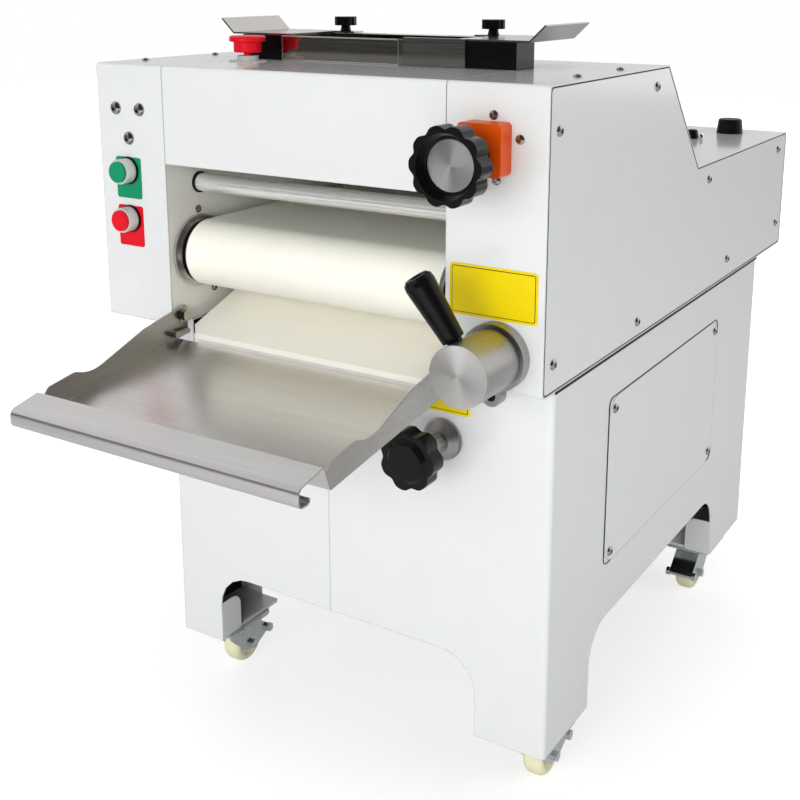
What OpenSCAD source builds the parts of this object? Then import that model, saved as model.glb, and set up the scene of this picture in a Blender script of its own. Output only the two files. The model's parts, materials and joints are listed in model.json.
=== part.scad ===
// Electric dough moulder on a wheeled base: two sheeting rolls under a hopper feed a conveyor belt,
// whose lower run rolls the dough over a pressure board and out onto a tray at the front.
// X runs to the right seen from the front, Y to the back, Z up. The floor is at Z = 0.
// Places are worked out from the front face of the upper housing, and place() centres the whole.

/* [Housing] */
// Width of the upper housing over both side covers
housing_w = 600; // [560:5:680]
// Depth of the upper housing from front face to rear face
housing_depth = 865; // [820:5:960]
// Height of the upper housing
housing_h = 313; // [305:1:340]
// Depth of the flat top
top_depth = 320; // [310:5:360]
// Run of the slope behind the top
slope_run = 125; // [110:5:150]
// Height from the rear deck up to the top
deck_drop = 136; // [120:1:140]
// Width of the left box, which holds the switches and the roll gears
left_box_w = 104; // [100:1:130]
// Width of the right box, which holds the gap spindle and the main drive
right_box_w = 113; // [110:1:140]
// Height of the front cover
front_cover_h = 115; // [90:1:120]
// Thickness of the sheet metal
sheet = 2; // [1.5:0.5:3]
// Thickness of the inner side plates
side_plate_t = 10; // [8:1:12]
// Radius of the folded housing edges
edge_r = 5; // [4:0.5:8]

/* [Base] */
// Height of the base from the foot of the legs to the housing
base_h = 435; // [400:5:480]
// Inset of the base from the left side of the housing
base_left_inset = 65; // [40:1:70]
// Inset of the base from the right side of the housing
base_right_inset = 4; // [2:1:10]
// Inset of the base from the front of the housing
base_front_inset = 36; // [34:1:50]
// Inset of the base from the rear of the housing
base_rear_inset = 109; // [80:1:130]
// Width of the front left leg
left_leg_w = 68; // [60:1:90]
// Width of the front right leg
right_leg_w = 88; // [70:1:100]
// Length of the front legs along the side
front_leg_len = 119; // [100:1:140]
// Length of the rear legs along the side
rear_leg_len = 149; // [110:1:170]
// Height of the arches between the legs
arch_h = 98; // [80:1:110]
// Radius of the arch corners
arch_r = 45; // [30:1:60]
// Depth of the leg panels behind the arches
leg_panel_depth = 38; // [30:1:62]
// Place of the front seam to the right of the middle
seam_x = 8; // [-20:1:30]
// Drop of the base front below the housing, under the pressure board
front_notch = 34; // [30:1:40]

/* [Access panel] */
// Length of the panel
access_len = 390; // [300:5:420]
// Height of the panel
access_h = 208; // [150:2:220]
// Distance of the panel from the front of the housing
access_y = 188; // [180:1:210]
// Distance of the panel below the housing
access_drop = 58; // [40:1:70]
// Corner radius of the panel
access_r = 25; // [10:1:35]

/* [Casters] */
// Height of a caster from the floor to the foot of the leg
caster_h = 72; // [70:1:90]
// Diameter of a caster wheel
wheel_d = 54; // [46:1:55]
// Width of a caster wheel
wheel_w = 26; // [18:1:30]
// Trail of a wheel from its swivel, towards the middle of the base as it stands
caster_trail = 20; // [16:1:24]
// Distance of the swivels from the outer faces of the base along X
caster_in_x = 37; // [36:1:46]
// Distance of the front swivels from the front of the base
caster_in_front = 54; // [50:1:70]
// Distance of the rear swivels from the rear of the base
caster_in_rear = 105; // [60:1:105]

/* [Sheeting rolls] */
// Diameter of a sheeting roll
roll_d = 70; // [66:1:72]
// Gap between the rolls as it is set
roll_gap = 6; // [5:0.5:8]
// Travel of the front roll to each side of that setting
gap_travel = 4; // [2:0.5:4]
// Distance of the gap from the front face
nip_y = 195; // [185:1:205]
// Depth of the roll axes below the top
roll_drop = 71; // [66:1:80]
// Diameter of the roll journals and the other main shafts
shaft_d = 20; // [18:1:22]
// Number of teeth of a roll gear
gear_teeth = 16; // [14:1:18]

/* [Conveyor] */
// Diameter of the two belt rollers
roller_d = 74; // [70:1:76]
// Thickness of the belt
belt_t = 3; // [2:0.5:4]
// Distance of the front roller from the front face
front_roller_y = 52; // [50:1:60]
// Distance of the rear roller from the front face
rear_roller_y = 620; // [590:5:650]
// Depth of the roller axes below the top
roller_drop = 228; // [224:1:232]
// Space between the belt and each side wall
belt_side_gap = 16; // [14:1:20]
// Diameter of the guard bar
guard_d = 22; // [16:1:26]

/* [Pressure board] */
// Gap between the belt and the board
board_gap = 13; // [10:0.5:16]
// Thickness of the board
board_t = 12; // [10:1:14]
// Distance of the board's front edge from the front face
board_front_y = 8; // [4:1:12]
// Length of the chute at the front of the board
chute_run = 107; // [95:1:110]
// Fall of the chute
chute_drop = 38; // [30:1:40]
// Throw of the lever's cam
cam_throw = 8; // [6:0.5:8]
// Turn of the cam lever
lever_turn = 60; // [50:5:60]

/* [Tray] */
// Length of the tray in front of the housing
tray_reach = 212; // [180:2:240]
// Depth of the tray pan's rear edge below the housing's underside
tray_drop = 15; // [13:1:19]
// Fall of the pan from rear to front
tray_fall = 32; // [20:1:40]
// Thickness of the tray sheet
tray_sheet = 1.5; // [1:0.5:2]
// Depth of the front lip
lip_depth = 38; // [30:1:55]
// Height of the front lip
lip_h = 28; // [20:1:30]
// Running gap between the tray and each side wall
tray_side_gap = 3; // [2:0.5:5]

/* [Controls] */
// Diameter of the lobed handwheel
handwheel_d = 78; // [60:1:78]
// Place of the handwheel to the left of the right side
handwheel_in = 64; // [58:1:68]
// Distance of the handwheel's face from the housing
handwheel_out = 88; // [80:1:100]
// Diameter of the cam lever's barrel
barrel_d = 64; // [50:1:66]
// Place of the lever to the left of the right side
lever_in = 51; // [48:1:56]
// Depth of the lever axis below the top
lever_drop = 274; // [268:1:278]
// Reach of the lever grip from its axis
grip_reach = 107; // [90:1:120]
// Lean of the lever to the left at rest
lever_lean = 29; // [20:1:35]
// Lean of the lever towards the front
lever_tilt = 12; // [0:1:14]
// Diameter of the star knob
star_d = 66; // [50:1:72]
// Place of the star knob to the left of the right side
star_in = 135; // [125:1:140]
// Depth of the star knob below the top
star_drop = 394; // [392:1:410]
// Diameter of the push button bezels
bezel_d = 30; // [26:1:32]
// Travel of the push buttons
button_travel = 3; // [2:0.5:4]

/* [Hopper] */
// Width of the hopper throat
throat_w = 255; // [220:5:260]
// Length of the hopper throat from front to back
throat_len = 90; // [80:2:96]
// Height of the hopper above the top
hopper_h = 30; // [24:1:40]
// Inward travel of a hopper guide
guide_travel = 60; // [30:5:80]

/* [Hidden] */
$fn = 64;

// Clearances: a running fit in a bore, parts that pass each other, and an easy gap
fit = 0.05;
pass = 0.3;
easy = 2;
// Overlap that makes a cut go clean through a face
cut = 1;

// Heights
leg_z = caster_h;
housing_z = leg_z + base_h;
top_z = housing_z + housing_h;
deck_z = top_z - deck_drop;

// Widths
left_x = -housing_w / 2;
right_x = housing_w / 2;
wall_left = left_x + left_box_w;
wall_right = right_x - right_box_w;
mid_x = (wall_left + wall_right) / 2;
opening_w = wall_right - wall_left;

// Base outline
base_x0 = left_x + base_left_inset;
base_x1 = right_x - base_right_inset;
base_y0 = base_front_inset;
base_y1 = housing_depth - base_rear_inset;
base_corner_r = 6;
base_deck_t = 6;
base_deck_z = housing_z - 70;
shelf_t = 4;
shelf_z = leg_z + arch_h + 8;
shelf_reach = 130;
shelf_lip = 30;
leg_panel_r = 16;
gusset_t = 5;
top_fold_w = 22;
base_points = [[base_x0, base_y0], [base_x1, base_y0], [base_x1, base_y1], [base_x0, base_y1]];

// Sheeting rolls
roll_z = top_z - roll_drop;
roll_pitch = roll_d + roll_gap;
front_roll_y = nip_y - roll_pitch / 2;
rear_roll_y = nip_y + roll_pitch / 2;
roll_x0 = wall_left + 11;
roll_x1 = wall_right - 11;
gear_pitch_d = roll_d + roll_gap - gap_travel;
gear_addendum = 4.6;
gear_dedendum = 6.4;
gear_w = 18;
gear_x = wall_left - 60;
jack_angle = 70;
jack_y = rear_roll_y + gear_pitch_d * cos(jack_angle);
jack_z = roll_z - gear_pitch_d * sin(jack_angle);

// Carriage of the front roll
block_gap = 2;
block_h = 44;
block_back = 15;
block_front = 57;
bar_y = front_roll_y - roll_d / 2 - 12;
bar_d = 16;
left_block_w = 26;
spindle_x = right_x - handwheel_in;
spindle_d = 14;
right_block_x0 = wall_right + side_plate_t + block_gap;
right_block_x1 = spindle_x + 16;

// Conveyor
roller_z = top_z - roller_drop;
belt_x0 = wall_left + belt_side_gap;
belt_x1 = wall_right - belt_side_gap;
belt_r = roller_d / 2 + pass + belt_t;
ring_d = roller_d + 16;
ring_t = 8;
guard_y = 58;
guard_z = top_z - 144;

// Pressure board
board_z = roller_z - belt_r - board_gap;
board_knee_y = board_front_y + chute_run;
board_rear_y = rear_roller_y - 20;
board_pin_y = rear_roller_y - 30;
board_pin_d = 10;
cam_y = board_knee_y + 5;
cam_w = 16;
cam_r = 14;
cam_start = 60;
cam_x = right_x - lever_in;
cam_z = top_z - lever_drop;
lever_shaft_d = 25;
board_drop = cam_throw * (cos(cam_start) - cos(cam_start + lever_turn));
follower_z = cam_z + cam_r + cam_throw * cos(cam_start) + pass;
lug_t = 8;
lug_x = wall_right + side_plate_t + 4;
lug_y0 = cam_y - cam_w / 2 + 1.5 * easy;
lug_y1 = cam_y + cam_w / 2;

// Tray
tray_x0 = wall_left + tray_side_gap;
tray_x1 = wall_right - tray_side_gap;
tray_rear_y = 22;
tray_z = housing_z - tray_drop;
tray_front_y = -tray_reach;
tray_front_z = tray_z - tray_fall;
pivot_y = 14;
pivot_z = housing_z + 11;
pivot_d = 8;
pin_head_d = 13;
pin_head_t = 6;
pin_washer_d = 16;
pin_washer_t = 1.7;
lip_rise = 27;
lip_fall = 8;
pan_rear_y = 4;
lip_hook = 16;
lip_hem = 6;
step_lean = 10;
stay_d = 7;
stay_in = 7.5;
stay_y = -6;
stay_len = 22;
stay_z = pivot_z - 19;
lip_z = tray_front_z + lip_rise;

// Controls on the right box
handwheel_t = 22;
disc_d = handwheel_d - 28;
disc_t = 3;
block_w = 48;
indicator_h = 52;
indicator_t = 23;
indicator_r = 4.5;
flange_t = 14;
barrel_out = 82;
grip_y = -54;
star_x = right_x - star_in;
star_z = top_z - star_drop;
star_t = 26;
star_out = 46;
star_hub_t = 10;
sleeve_d = 20;
knob_flange_t = 12;
sleeve_t = base_y0 + star_out - star_t - star_hub_t - pass;

// Controls on the left box
button_x = left_x + 45;
start_z = top_z - 127;
stop_z = start_z - 59;
plate_w = 40;
plate_h = 50;
plate_t = 1;
bezel_t = 16;
cap_d = bezel_d - 5;
cap_rise = 4;
estop_x = wall_left + 38;
estop_y = 112;
estop_d = 44;

// Hopper
throat_x0 = mid_x - throat_w / 2;
throat_x1 = mid_x + throat_w / 2;
throat_y0 = nip_y - throat_len / 2;
throat_y1 = nip_y + throat_len / 2;
hopper_sheet = 2;
hopper_z0 = roll_z + roll_d / 2 + 6;
hopper_z1 = top_z + hopper_h;
guide_flat = 90;
wing_w = 19;
wing_rise = 18;
end_block_w = (opening_w - throat_w) / 2 - hopper_sheet;
end_block_len = 44;
thumb_d = 28;
stop_in = 72;
stop_back = 60;
stop_d = 40;
stop_h = 22;
stop_edge_r = 3;

// Drive
motor_y = 430;
motor_z = shelf_z + shelf_t + 70;
motor_d = 126;
motor_x0 = mid_x - 40;
motor_x1 = wall_right - 6;
drive_x = wall_right + 54;
drive_w = 20;
motor_pulley_r = 32;
driven_pulley_r = 60;
timing_x = left_x + 17;
timing_w = 16;
timing_r = 30;
drive_belt_t = 5;
drive_belt_gap = 0.6;

// The whole is centred between the front of the tray lip and the rear of the housing
lip_front_y = tray_front_y - lip_depth;
centre_y = (lip_front_y + housing_depth) / 2;

// Unit vector along v
function unit(v) = v / norm(v);

// Points of the arc that rounds the corner b between a and c
function corner(a, b, c, r, steps = 5) =
    r <= 0 ? [b] :
    let (u = unit(a - b), v = unit(c - b), half = acos(u * v) / 2)
    let (o = b + unit(u + v) * r / sin(half))
    let (s = b + u * r / tan(half) - o, e = b + v * r / tan(half) - o)
    [for (i = [0:steps]) o + r * unit(s * (1 - i / steps) + e * i / steps)];

// A rectangle round the origin
function rectangle(w, h) = [[-w / 2, -h / 2], [w / 2, -h / 2], [w / 2, h / 2], [-w / 2, h / 2]];

// An outline with each corner rounded by the radius of the same place in the list radii
function rounded(points, radii) =
    let (n = len(points))
    [for (i = [0:n - 1]) each corner(points[(i + n - 1) % n], points[i], points[(i + 1) % n], radii[i])];

// An outline moved inwards by d, for points that run anticlockwise
function inset(points, d) =
    let (n = len(points))
    [for (i = [0:n - 1])
        let (b = points[i], p = unit(b - points[(i + n - 1) % n]), q = unit(points[(i + 1) % n] - b))
        let (np = [-p.y, p.x], nq = [-q.y, q.x])
        b + (np + nq) * d / (1 + np * nq)];

// An open path moved to its right by d
function beside(points, d) =
    let (n = len(points))
    [for (i = [0:n - 1])
        let (j = max(i, 1), k = min(i, n - 2))
        let (p = unit(points[j] - points[j - 1]), q = unit(points[k + 1] - points[k]))
        let (np = [p.y, -p.x], nq = [q.y, -q.x])
        points[i] + (np + nq) * d / (1 + np * nq)];

// The outline of a sheet of thickness t on the right of an open path; radii are those inside its bends
function bent(points, t, radii) =
    let (n = len(points), other = beside(points, t))
    let (left = [for (i = [1:n - 2]) cross(points[i] - points[i - 1], points[i + 1] - points[i]) > 0])
    concat(
        [points[0]],
        [for (i = [1:n - 2])
            each corner(points[i - 1], points[i], points[i + 1], radii[i - 1] + (left[i - 1] ? 0 : t))],
        [points[n - 1], other[n - 1]],
        [for (i = [n - 2:-1:1])
            each corner(other[i + 1], other[i], other[i - 1], radii[i - 1] + (left[i - 1] ? t : 0))],
        [other[0]]);

// The outline of a belt round two wheels
function loop(c1, r1, c2, r2, steps = 24) =
    let (d = c2 - c1, a = atan2(d.y, d.x), b = acos((r1 - r2) / norm(d)))
    concat(
        [for (i = [0:steps]) let (t = a + b + (360 - 2 * b) * i / steps) c1 + r1 * [cos(t), sin(t)]],
        [for (i = [0:steps]) let (t = a - b + 2 * b * i / steps) c2 + r2 * [cos(t), sin(t)]]);

// A closed outline with round lobes, for knobs
function lobed(r, depth, lobes, steps = 8) =
    [for (i = [0:lobes * steps - 1])
        let (t = 360 * i / (lobes * steps))
        (r - depth * pow((1 - cos(lobes * t)) / 2, 2)) * [cos(t), sin(t)]];

// The outline of a spur gear with straight-sided teeth, with a tooth along +X turned by turn
function gear(pitch_r, teeth, turn) =
    let (p = 360 / teeth, tip = pitch_r + gear_addendum, root = pitch_r - gear_dedendum)
    [for (i = [0:teeth - 1], c = [[root, -0.27], [pitch_r, -0.18], [tip, -0.09], [tip, 0.09], [pitch_r, 0.18],
                                  [root, 0.27]])
        let (t = turn + p * (i + c[1])) c[0] * [cos(t), sin(t)]];

// Everything is drawn from the front face and then centred
module place() {
    translate([0, -centre_y, 0]) children();
}

// A flat shape in Y and Z, drawn out along X from x0 by length
module along_x(x0, length) {
    translate([x0, 0, 0]) rotate([90, 0, 90]) linear_extrude(length) children();
}

// A flat shape in X and Z, drawn out along Y from y0 by length
module along_y(y0, length) {
    translate([0, y0 + length, 0]) rotate([90, 0, 0]) linear_extrude(length) children();
}

// A cylinder along X from x0 to x1
module rod_x(x0, x1, y, z, d) {
    translate([x0, y, z]) rotate([0, 90, 0]) cylinder(d = d, h = x1 - x0);
}

// A cylinder along Y from y0 to y1
module rod_y(y0, y1, x, z, d) {
    translate([x, y1, z]) rotate([90, 0, 0]) cylinder(d = d, h = y1 - y0);
}

// A block between two corners
module block(a, b) {
    translate(a) cube(b - a);
}

// A button-head screw that stands on the origin and points down, with its socket
module button_screw(head_d, shank_d, length) {
    head_h = head_d * 0.3;
    difference() {
        union() {
            rotate_extrude() polygon(concat(
                [[0, 0], [head_d / 2, 0]],
                [for (i = [1:4]) [head_d / 2 * cos(18 * i), head_h * sin(18 * i)]],
                [[0, head_h]]));
            translate([0, 0, -length]) cylinder(d = shank_d, h = length + 0.01, $fn = 24);
        }
        translate([0, 0, head_h * 0.45]) cylinder(d = head_d * 0.5, h = head_h, $fn = 6);
    }
}

// Side outline of the housing, from the lower front corner anticlockwise
housing_points = [
    [0, housing_z], [housing_depth, housing_z], [housing_depth, deck_z], [top_depth + slope_run, deck_z],
    [top_depth, top_z], [0, top_z]
];

module housing_outline(d, r) {
    polygon(rounded(inset(housing_points, d), [for (p = housing_points) r]));
}

// A folded sheet skin of the housing from x0 by length
module between_x(a, b) {
    along_x(min(a, b), abs(b - a)) children();
}

module housing_skin(x0, length) {
    difference() {
        along_x(x0, length) housing_outline(0, edge_r);
        along_x(x0 - cut, length + 2 * cut) housing_outline(sheet, edge_r - sheet);
    }
}

// A box of the housing, open towards the middle, with a recess and a folded rim for its side cover
module housing_box(outer, inner) {
    run = sign(inner - outer);
    rim = outer + run * sheet;
    difference() {
        between_x(outer, inner) housing_outline(0, edge_r);
        between_x(outer - run * cut, rim) housing_outline(sheet, edge_r - sheet);
        between_x(rim - run * cut, rim + run * (sheet + cut)) housing_outline(rim_w, edge_r);
        between_x(rim + run * sheet, inner + run * cut) housing_outline(sheet, edge_r - sheet);
        for (p = cover_screw_places)
            rod_x(min(outer, rim) - sheet - cut, max(outer, rim) + sheet + cut, p.x, p.y,
                small_shank_d + 2 * fit);
    }
}

// Base outline in plan, moved inwards by w
module base_outline(w) {
    polygon(rounded(inset(base_points, w), [for (p = base_points) max(base_corner_r - w, 0.5)]));
}

// A ring of the base skin of width w
module base_ring(z0, z1, w) {
    translate([0, 0, z0]) difference() {
        linear_extrude(z1 - z0) base_outline(0);
        translate([0, 0, -cut]) linear_extrude(z1 - z0 + 2 * cut) base_outline(w);
    }
}

// Arch outline between a and b
module arch_outline(a, b) {
    points = [[a, leg_z - cut], [b, leg_z - cut], [b, leg_z + arch_h], [a, leg_z + arch_h]];
    polygon(rounded(points, [0, 0, arch_r, arch_r]));
}

arch_front = [base_x0 + left_leg_w, base_x1 - right_leg_w];
arch_side = [base_y0 + front_leg_len, base_y1 - rear_leg_len];

// The openings between the legs, cut right through the base
module arch_cuts() {
    along_y(base_y0 - cut, base_y1 - base_y0 + 2 * cut) arch_outline(arch_front[0], arch_front[1]);
    along_x(base_x0 - cut, base_x1 - base_x0 + 2 * cut) arch_outline(arch_side[0], arch_side[1]);
}

// A panel that closes a leg towards an arch, up to where the arch curves, with its free corner rounded
module leg_panel_outline() {
    top = leg_z + arch_h - arch_r;
    points = [[0, leg_z], [leg_panel_depth, leg_z], [leg_panel_depth, top], [0, top]];
    polygon(rounded(points, [0, 2, leg_panel_r, 0]));
}

module leg_panels() {
    for (x = [arch_front[0] - sheet, arch_front[1]]) {
        translate([0, base_y0, 0]) along_x(x, sheet) leg_panel_outline();
        translate([0, base_y1, 0]) mirror([0, 1, 0]) along_x(x, sheet) leg_panel_outline();
    }
    for (y = [arch_side[0] - sheet, arch_side[1]]) {
        translate([base_x0, 0, 0]) along_y(y, sheet) leg_panel_outline();
        translate([base_x1, 0, 0]) mirror([1, 0, 0]) along_y(y, sheet) leg_panel_outline();
    }
}

// Places of the four caster swivels, front left, front right, rear left and rear right
caster_places = [
    for (y = [base_y0 + caster_in_front, base_y1 - caster_in_rear],
        x = [base_x0 + caster_in_x, base_x1 - caster_in_x]) [x, y]
];

module gusset(place_xy) {
    sx = place_xy.x < mid_x ? base_x0 + sheet : arch_front[1] + sheet;
    ex = place_xy.x < mid_x ? arch_front[0] - sheet : base_x1 - sheet;
    sy = place_xy.y < motor_y ? base_y0 + sheet : arch_side[1] + sheet;
    ey = place_xy.y < motor_y ? arch_side[0] - sheet : base_y1 - sheet;
    block([sx, sy, leg_z], [ex, ey, leg_z + gusset_t]);
}

// One half of the welded base: skin, leg panels, folded top and foot plates
module base_half(x0, x1) {
    intersection() {
        difference() {
            union() {
                difference() {
                    base_ring(leg_z, housing_z, sheet);
                    arch_cuts();
                }
                base_ring(housing_z - sheet, housing_z, top_fold_w);
                leg_panels();
                for (p = caster_places) gusset(p);
            }
            block([wall_left, base_y0 - cut, housing_z - front_notch],
                  [wall_right, base_y0 + top_fold_w + cut, housing_z + cut]);
        }
        block([x0, base_y0 - cut, leg_z - cut], [x1, base_y1 + cut, housing_z + cut]);
    }
}

module base_shell_left() {
    color("white") place() base_half(base_x0 - cut, seam_x - pass / 2);
}

module base_shell_right() {
    color("white") place() difference() {
        base_half(seam_x + pass / 2, base_x1 + cut);
        block([base_x1 - sheet - cut, access_y + 20, access_bottom + 20],
              [base_x1 + cut, access_y + access_len - 20, access_bottom + access_h - 20]);
        rod_y(base_y0 - cut, base_y0 + sheet + cut, star_x, star_z, shaft_d + 2);
        rod_y(base_y1 - sheet - cut, base_y1 + cut, gland_x, gland_z, gland_thread_d + 2 * fit);
    }
}

// Access panel on the right side of the base
access_bottom = housing_z - access_drop - access_h;
access_t = 1.5;
access_screw_in = 14;
access_screw_places = [
    for (y = [access_y + access_screw_in, access_y + access_len - access_screw_in],
         z = [access_bottom + access_screw_in, access_bottom + access_h - access_screw_in]) [y, z]
];
small_screw_d = 10;
side_screw_d = 12;
small_shank_d = 4.5;

module access_panel() {
    points = [[access_y, access_bottom], [access_y + access_len, access_bottom],
              [access_y + access_len, access_bottom + access_h], [access_y, access_bottom + access_h]];
    color("white") place() difference() {
        along_x(base_x1, access_t) polygon(rounded(points, [for (p = points) access_r]));
        for (p = access_screw_places)
            rod_x(base_x1 - cut, base_x1 + access_t + cut, p.x, p.y, small_shank_d + 2 * fit);
    }
}

// Deck inside the base, with a slot for the drive belt
module base_deck() {
    color("dimgray") place() difference() {
        translate([0, 0, base_deck_z]) linear_extrude(base_deck_t) base_outline(sheet);
        block([drive_x - easy * 2, motor_y - driven_pulley_r, base_deck_z - cut],
              [drive_x + drive_w + easy * 2, rear_roller_y + driven_pulley_r + 20,
                  base_deck_z + base_deck_t + cut]);
    }
}

// Folded shelf across the base that carries the motor
module motor_shelf() {
    front = motor_y - shelf_reach;
    back = motor_y + shelf_reach;
    color("black") place() union() {
        block([base_x0 + sheet, front, shelf_z], [base_x1 - sheet, back, shelf_z + shelf_t]);
        for (y = [front, back - shelf_t])
            block([base_x0 + sheet, y, shelf_z], [base_x1 - sheet, y + shelf_t, shelf_z + shelf_lip]);
    }
}

// Casters
swivel_d = 12;
caster_plate_w = 72;
caster_plate_len = 88;
caster_plate_r = 12;
caster_plate_t = 3;
pedal_gap = 3;
pedal_d = 9;
race_d = 44;
race_h = 7;
fork_t = 3;
fork_top_z = leg_z - caster_plate_t - race_h - pass;
axle_d = 8;
axle_z = wheel_d / 2;
fork_gap = 1.5;

// Fixed mounting plates under the legs, each with its swivel pin and race
module caster_plates() {
    color("silver") place() for (p = caster_places) translate([p.x, p.y, 0]) union() {
        translate([0, 0, leg_z - caster_plate_t]) linear_extrude(caster_plate_t)
            polygon(rounded(rectangle(caster_plate_w, caster_plate_len), [for (i = [0:3]) caster_plate_r]));
        translate([0, 0, leg_z - caster_plate_t - race_h])
            cylinder(d1 = race_d - 8, d2 = race_d, h = race_h + 0.01);
        translate([0, 0, fork_top_z - fork_t - 3]) cylinder(d = swivel_d, h = leg_z - fork_top_z);
    }
}

// The front casters are turned round
function trail_turn(p) = p.y < motor_y ? 180 : 0;

// Fork with its axle and its brake pedal, trailing towards the middle of the base
module caster_fork(p) {
    half = wheel_w / 2 + fork_gap;
    front_y = -caster_trail - wheel_d / 2 - pedal_gap - pedal_d / 2;
    pedal_z = axle_z + 8;
    neck_y = -race_d / 2 - 6;
    points = [[race_d / 2, fork_top_z], [race_d / 2, fork_top_z - 12], [10 - caster_trail, axle_z - 8],
              [-10 - caster_trail, axle_z - 8], [front_y, pedal_z - 4], [front_y - 3, pedal_z + 3],
              [neck_y, fork_top_z]];
    color("silver") place() translate([p.x, p.y, 0]) rotate([0, 0, trail_turn(p)]) difference() {
        union() {
            for (x = [-half - fork_t, half]) along_x(x, fork_t)
                polygon(rounded(points, [2, 8, 8, 8, 4, 3, 4]));
            translate([-half - fork_t, -race_d / 2, fork_top_z - fork_t])
                cube([2 * (half + fork_t), race_d, fork_t]);
            along_x(-half - fork_t, 2 * (half + fork_t)) polygon([
                [neck_y, fork_top_z], [front_y - 3, pedal_z + 3], [front_y - 1, pedal_z + 1],
                [neck_y + fork_t, fork_top_z - fork_t], [neck_y + fork_t, fork_top_z]]);
            rod_x(-half - fork_t - 4, half + fork_t + 4, -caster_trail, axle_z, axle_d);
            rod_x(-half - fork_t, half + fork_t, front_y, pedal_z, pedal_d);
            for (y_z = [[-caster_trail, axle_z], [front_y, pedal_z]], x = [-half - fork_t - 5, half + fork_t])
                translate([x, y_z.x, y_z.y]) rotate([0, 90, 0]) cylinder(d = 13, h = 5, $fn = 6);
        }
        translate([0, 0, fork_top_z - fork_t - cut]) cylinder(d = swivel_d + 2 * fit, h = fork_t + 2 * cut);
    }
}

// Nylon wheel with a turned rim
module caster_wheel(p) {
    r = wheel_d / 2;
    w = wheel_w / 2;
    bore = axle_d / 2 + fit;
    shoulder_r = 8;
    points = [[bore, -w], [r * 0.4, -w], [r * 0.46, -w + 3], [r * 0.6, -w + 3], [r * 0.66, -w], [r, -w],
              [r, w], [r * 0.66, w], [r * 0.6, w - 3], [r * 0.46, w - 3], [r * 0.4, w], [bore, w]];
    color("cornsilk") place() translate([p.x, p.y, axle_z]) rotate([0, 0, trail_turn(p)])
        translate([0, -caster_trail, 0]) rotate([0, 90, 0]) rotate_extrude()
        polygon(rounded(points, [0, 0, 0, 0, 0, shoulder_r, shoulder_r, 0, 0, 0, 0, 0]));
}

module caster_fork_fl() { caster_fork(caster_places[0]); }
module caster_fork_fr() { caster_fork(caster_places[1]); }
module caster_fork_rl() { caster_fork(caster_places[2]); }
module caster_fork_rr() { caster_fork(caster_places[3]); }
module caster_wheel_fl() { caster_wheel(caster_places[0]); }
module caster_wheel_fr() { caster_wheel(caster_places[1]); }
module caster_wheel_rl() { caster_wheel(caster_places[2]); }
module caster_wheel_rr() { caster_wheel(caster_places[3]); }

// Inner side plates that carry the rolls, rollers and bars
plate_edge = sheet;

module side_plate(x0) {
    difference() {
        along_x(x0, side_plate_t) housing_outline(plate_edge, edge_r - sheet);
        translate([x0 - cut, 0, 0]) {
            through = side_plate_t + 2 * cut;
            // Slot for the journal of the front roll
            translate([0, front_roll_y - shaft_d / 2 - gap_travel - easy, roll_z - shaft_d / 2 - easy])
                cube([through, shaft_d + 2 * (gap_travel + easy), shaft_d + 2 * easy]);
            // Slot for the carriage bar
            translate([0, bar_y - bar_d / 2 - gap_travel - easy, roll_z - bar_d / 2 - easy])
                cube([through, bar_d + 2 * (gap_travel + easy), bar_d + 2 * easy]);
            // Bore for the rear roll
            rod_x(0, through, rear_roll_y, roll_z, shaft_d + 2 * fit);
            // Holes for the belt roller shafts, the hinge of the board, the tray pivots and the wall screws
            for (y = [front_roller_y, rear_roller_y]) rod_x(0, through, y, roller_z, shaft_d + 2 * easy);
            rod_x(0, through, board_pin_y, board_z - board_t / 2, board_pin_d + 2 * fit);
            rod_x(0, through, pivot_y, pivot_z, pivot_d);
            for (p = wall_screw_places) rod_x(0, through, p.x, p.y, small_shank_d);
        }
    }
}

module side_plate_left() {
    color("white") place() difference() {
        side_plate(wall_left - side_plate_t);
        rod_x(wall_left - side_plate_t - cut, wall_left + cut, jack_y, jack_z, shaft_d + 2 * fit);
    }
}

module side_plate_right() {
    color("white") place() difference() {
        side_plate(wall_right);
        // Slot for the lug that rests on the cam
        block([wall_right - cut, cam_y - cam_w / 2 - easy, board_z - board_t - board_drop - 2 * easy],
              [wall_right + side_plate_t + cut, cam_y + cam_w / 2 + easy, board_z + easy]);
    }
}

// Side boxes: folded skins that are closed outside by flat covers
module left_box() {
    color("white") place() difference() {
        housing_box(left_x, wall_left);
        for (z = [start_z, stop_z]) rod_y(-cut, sheet + cut, button_x, z, cap_d - 2);
        for (p = front_screw_places) rod_y(-cut, sheet + cut, p.x, p.y, front_shank_d + 2 * fit);
        for (p = top_screw_places_left)
            translate([p.x, p.y, top_z - sheet - cut])
                cylinder(d = small_shank_d + 2 * fit, h = sheet + 2 * cut);
    }
}

module right_box() {
    color("white") place() difference() {
        housing_box(right_x, wall_right);
        rod_y(-cut, sheet + cut, spindle_x, roll_z, spindle_d + 4);
        rod_y(-cut, sheet + cut, cam_x, cam_z, bush_d);
        block([drive_x - easy * 2, motor_y - driven_pulley_r, housing_z - cut],
              [drive_x + drive_w + easy * 2, rear_roller_y + driven_pulley_r + 20, housing_z + sheet + cut]);
        for (p = top_screw_places_right)
            translate([p.x, p.y, top_z - sheet - cut])
                cylinder(d = small_shank_d + 2 * fit, h = sheet + 2 * cut);
        for (p = indicator_screw_places) rod_y(-cut, sheet + cut, p.x, p.y, small_shank_d + 2 * fit);
    }
}

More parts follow.
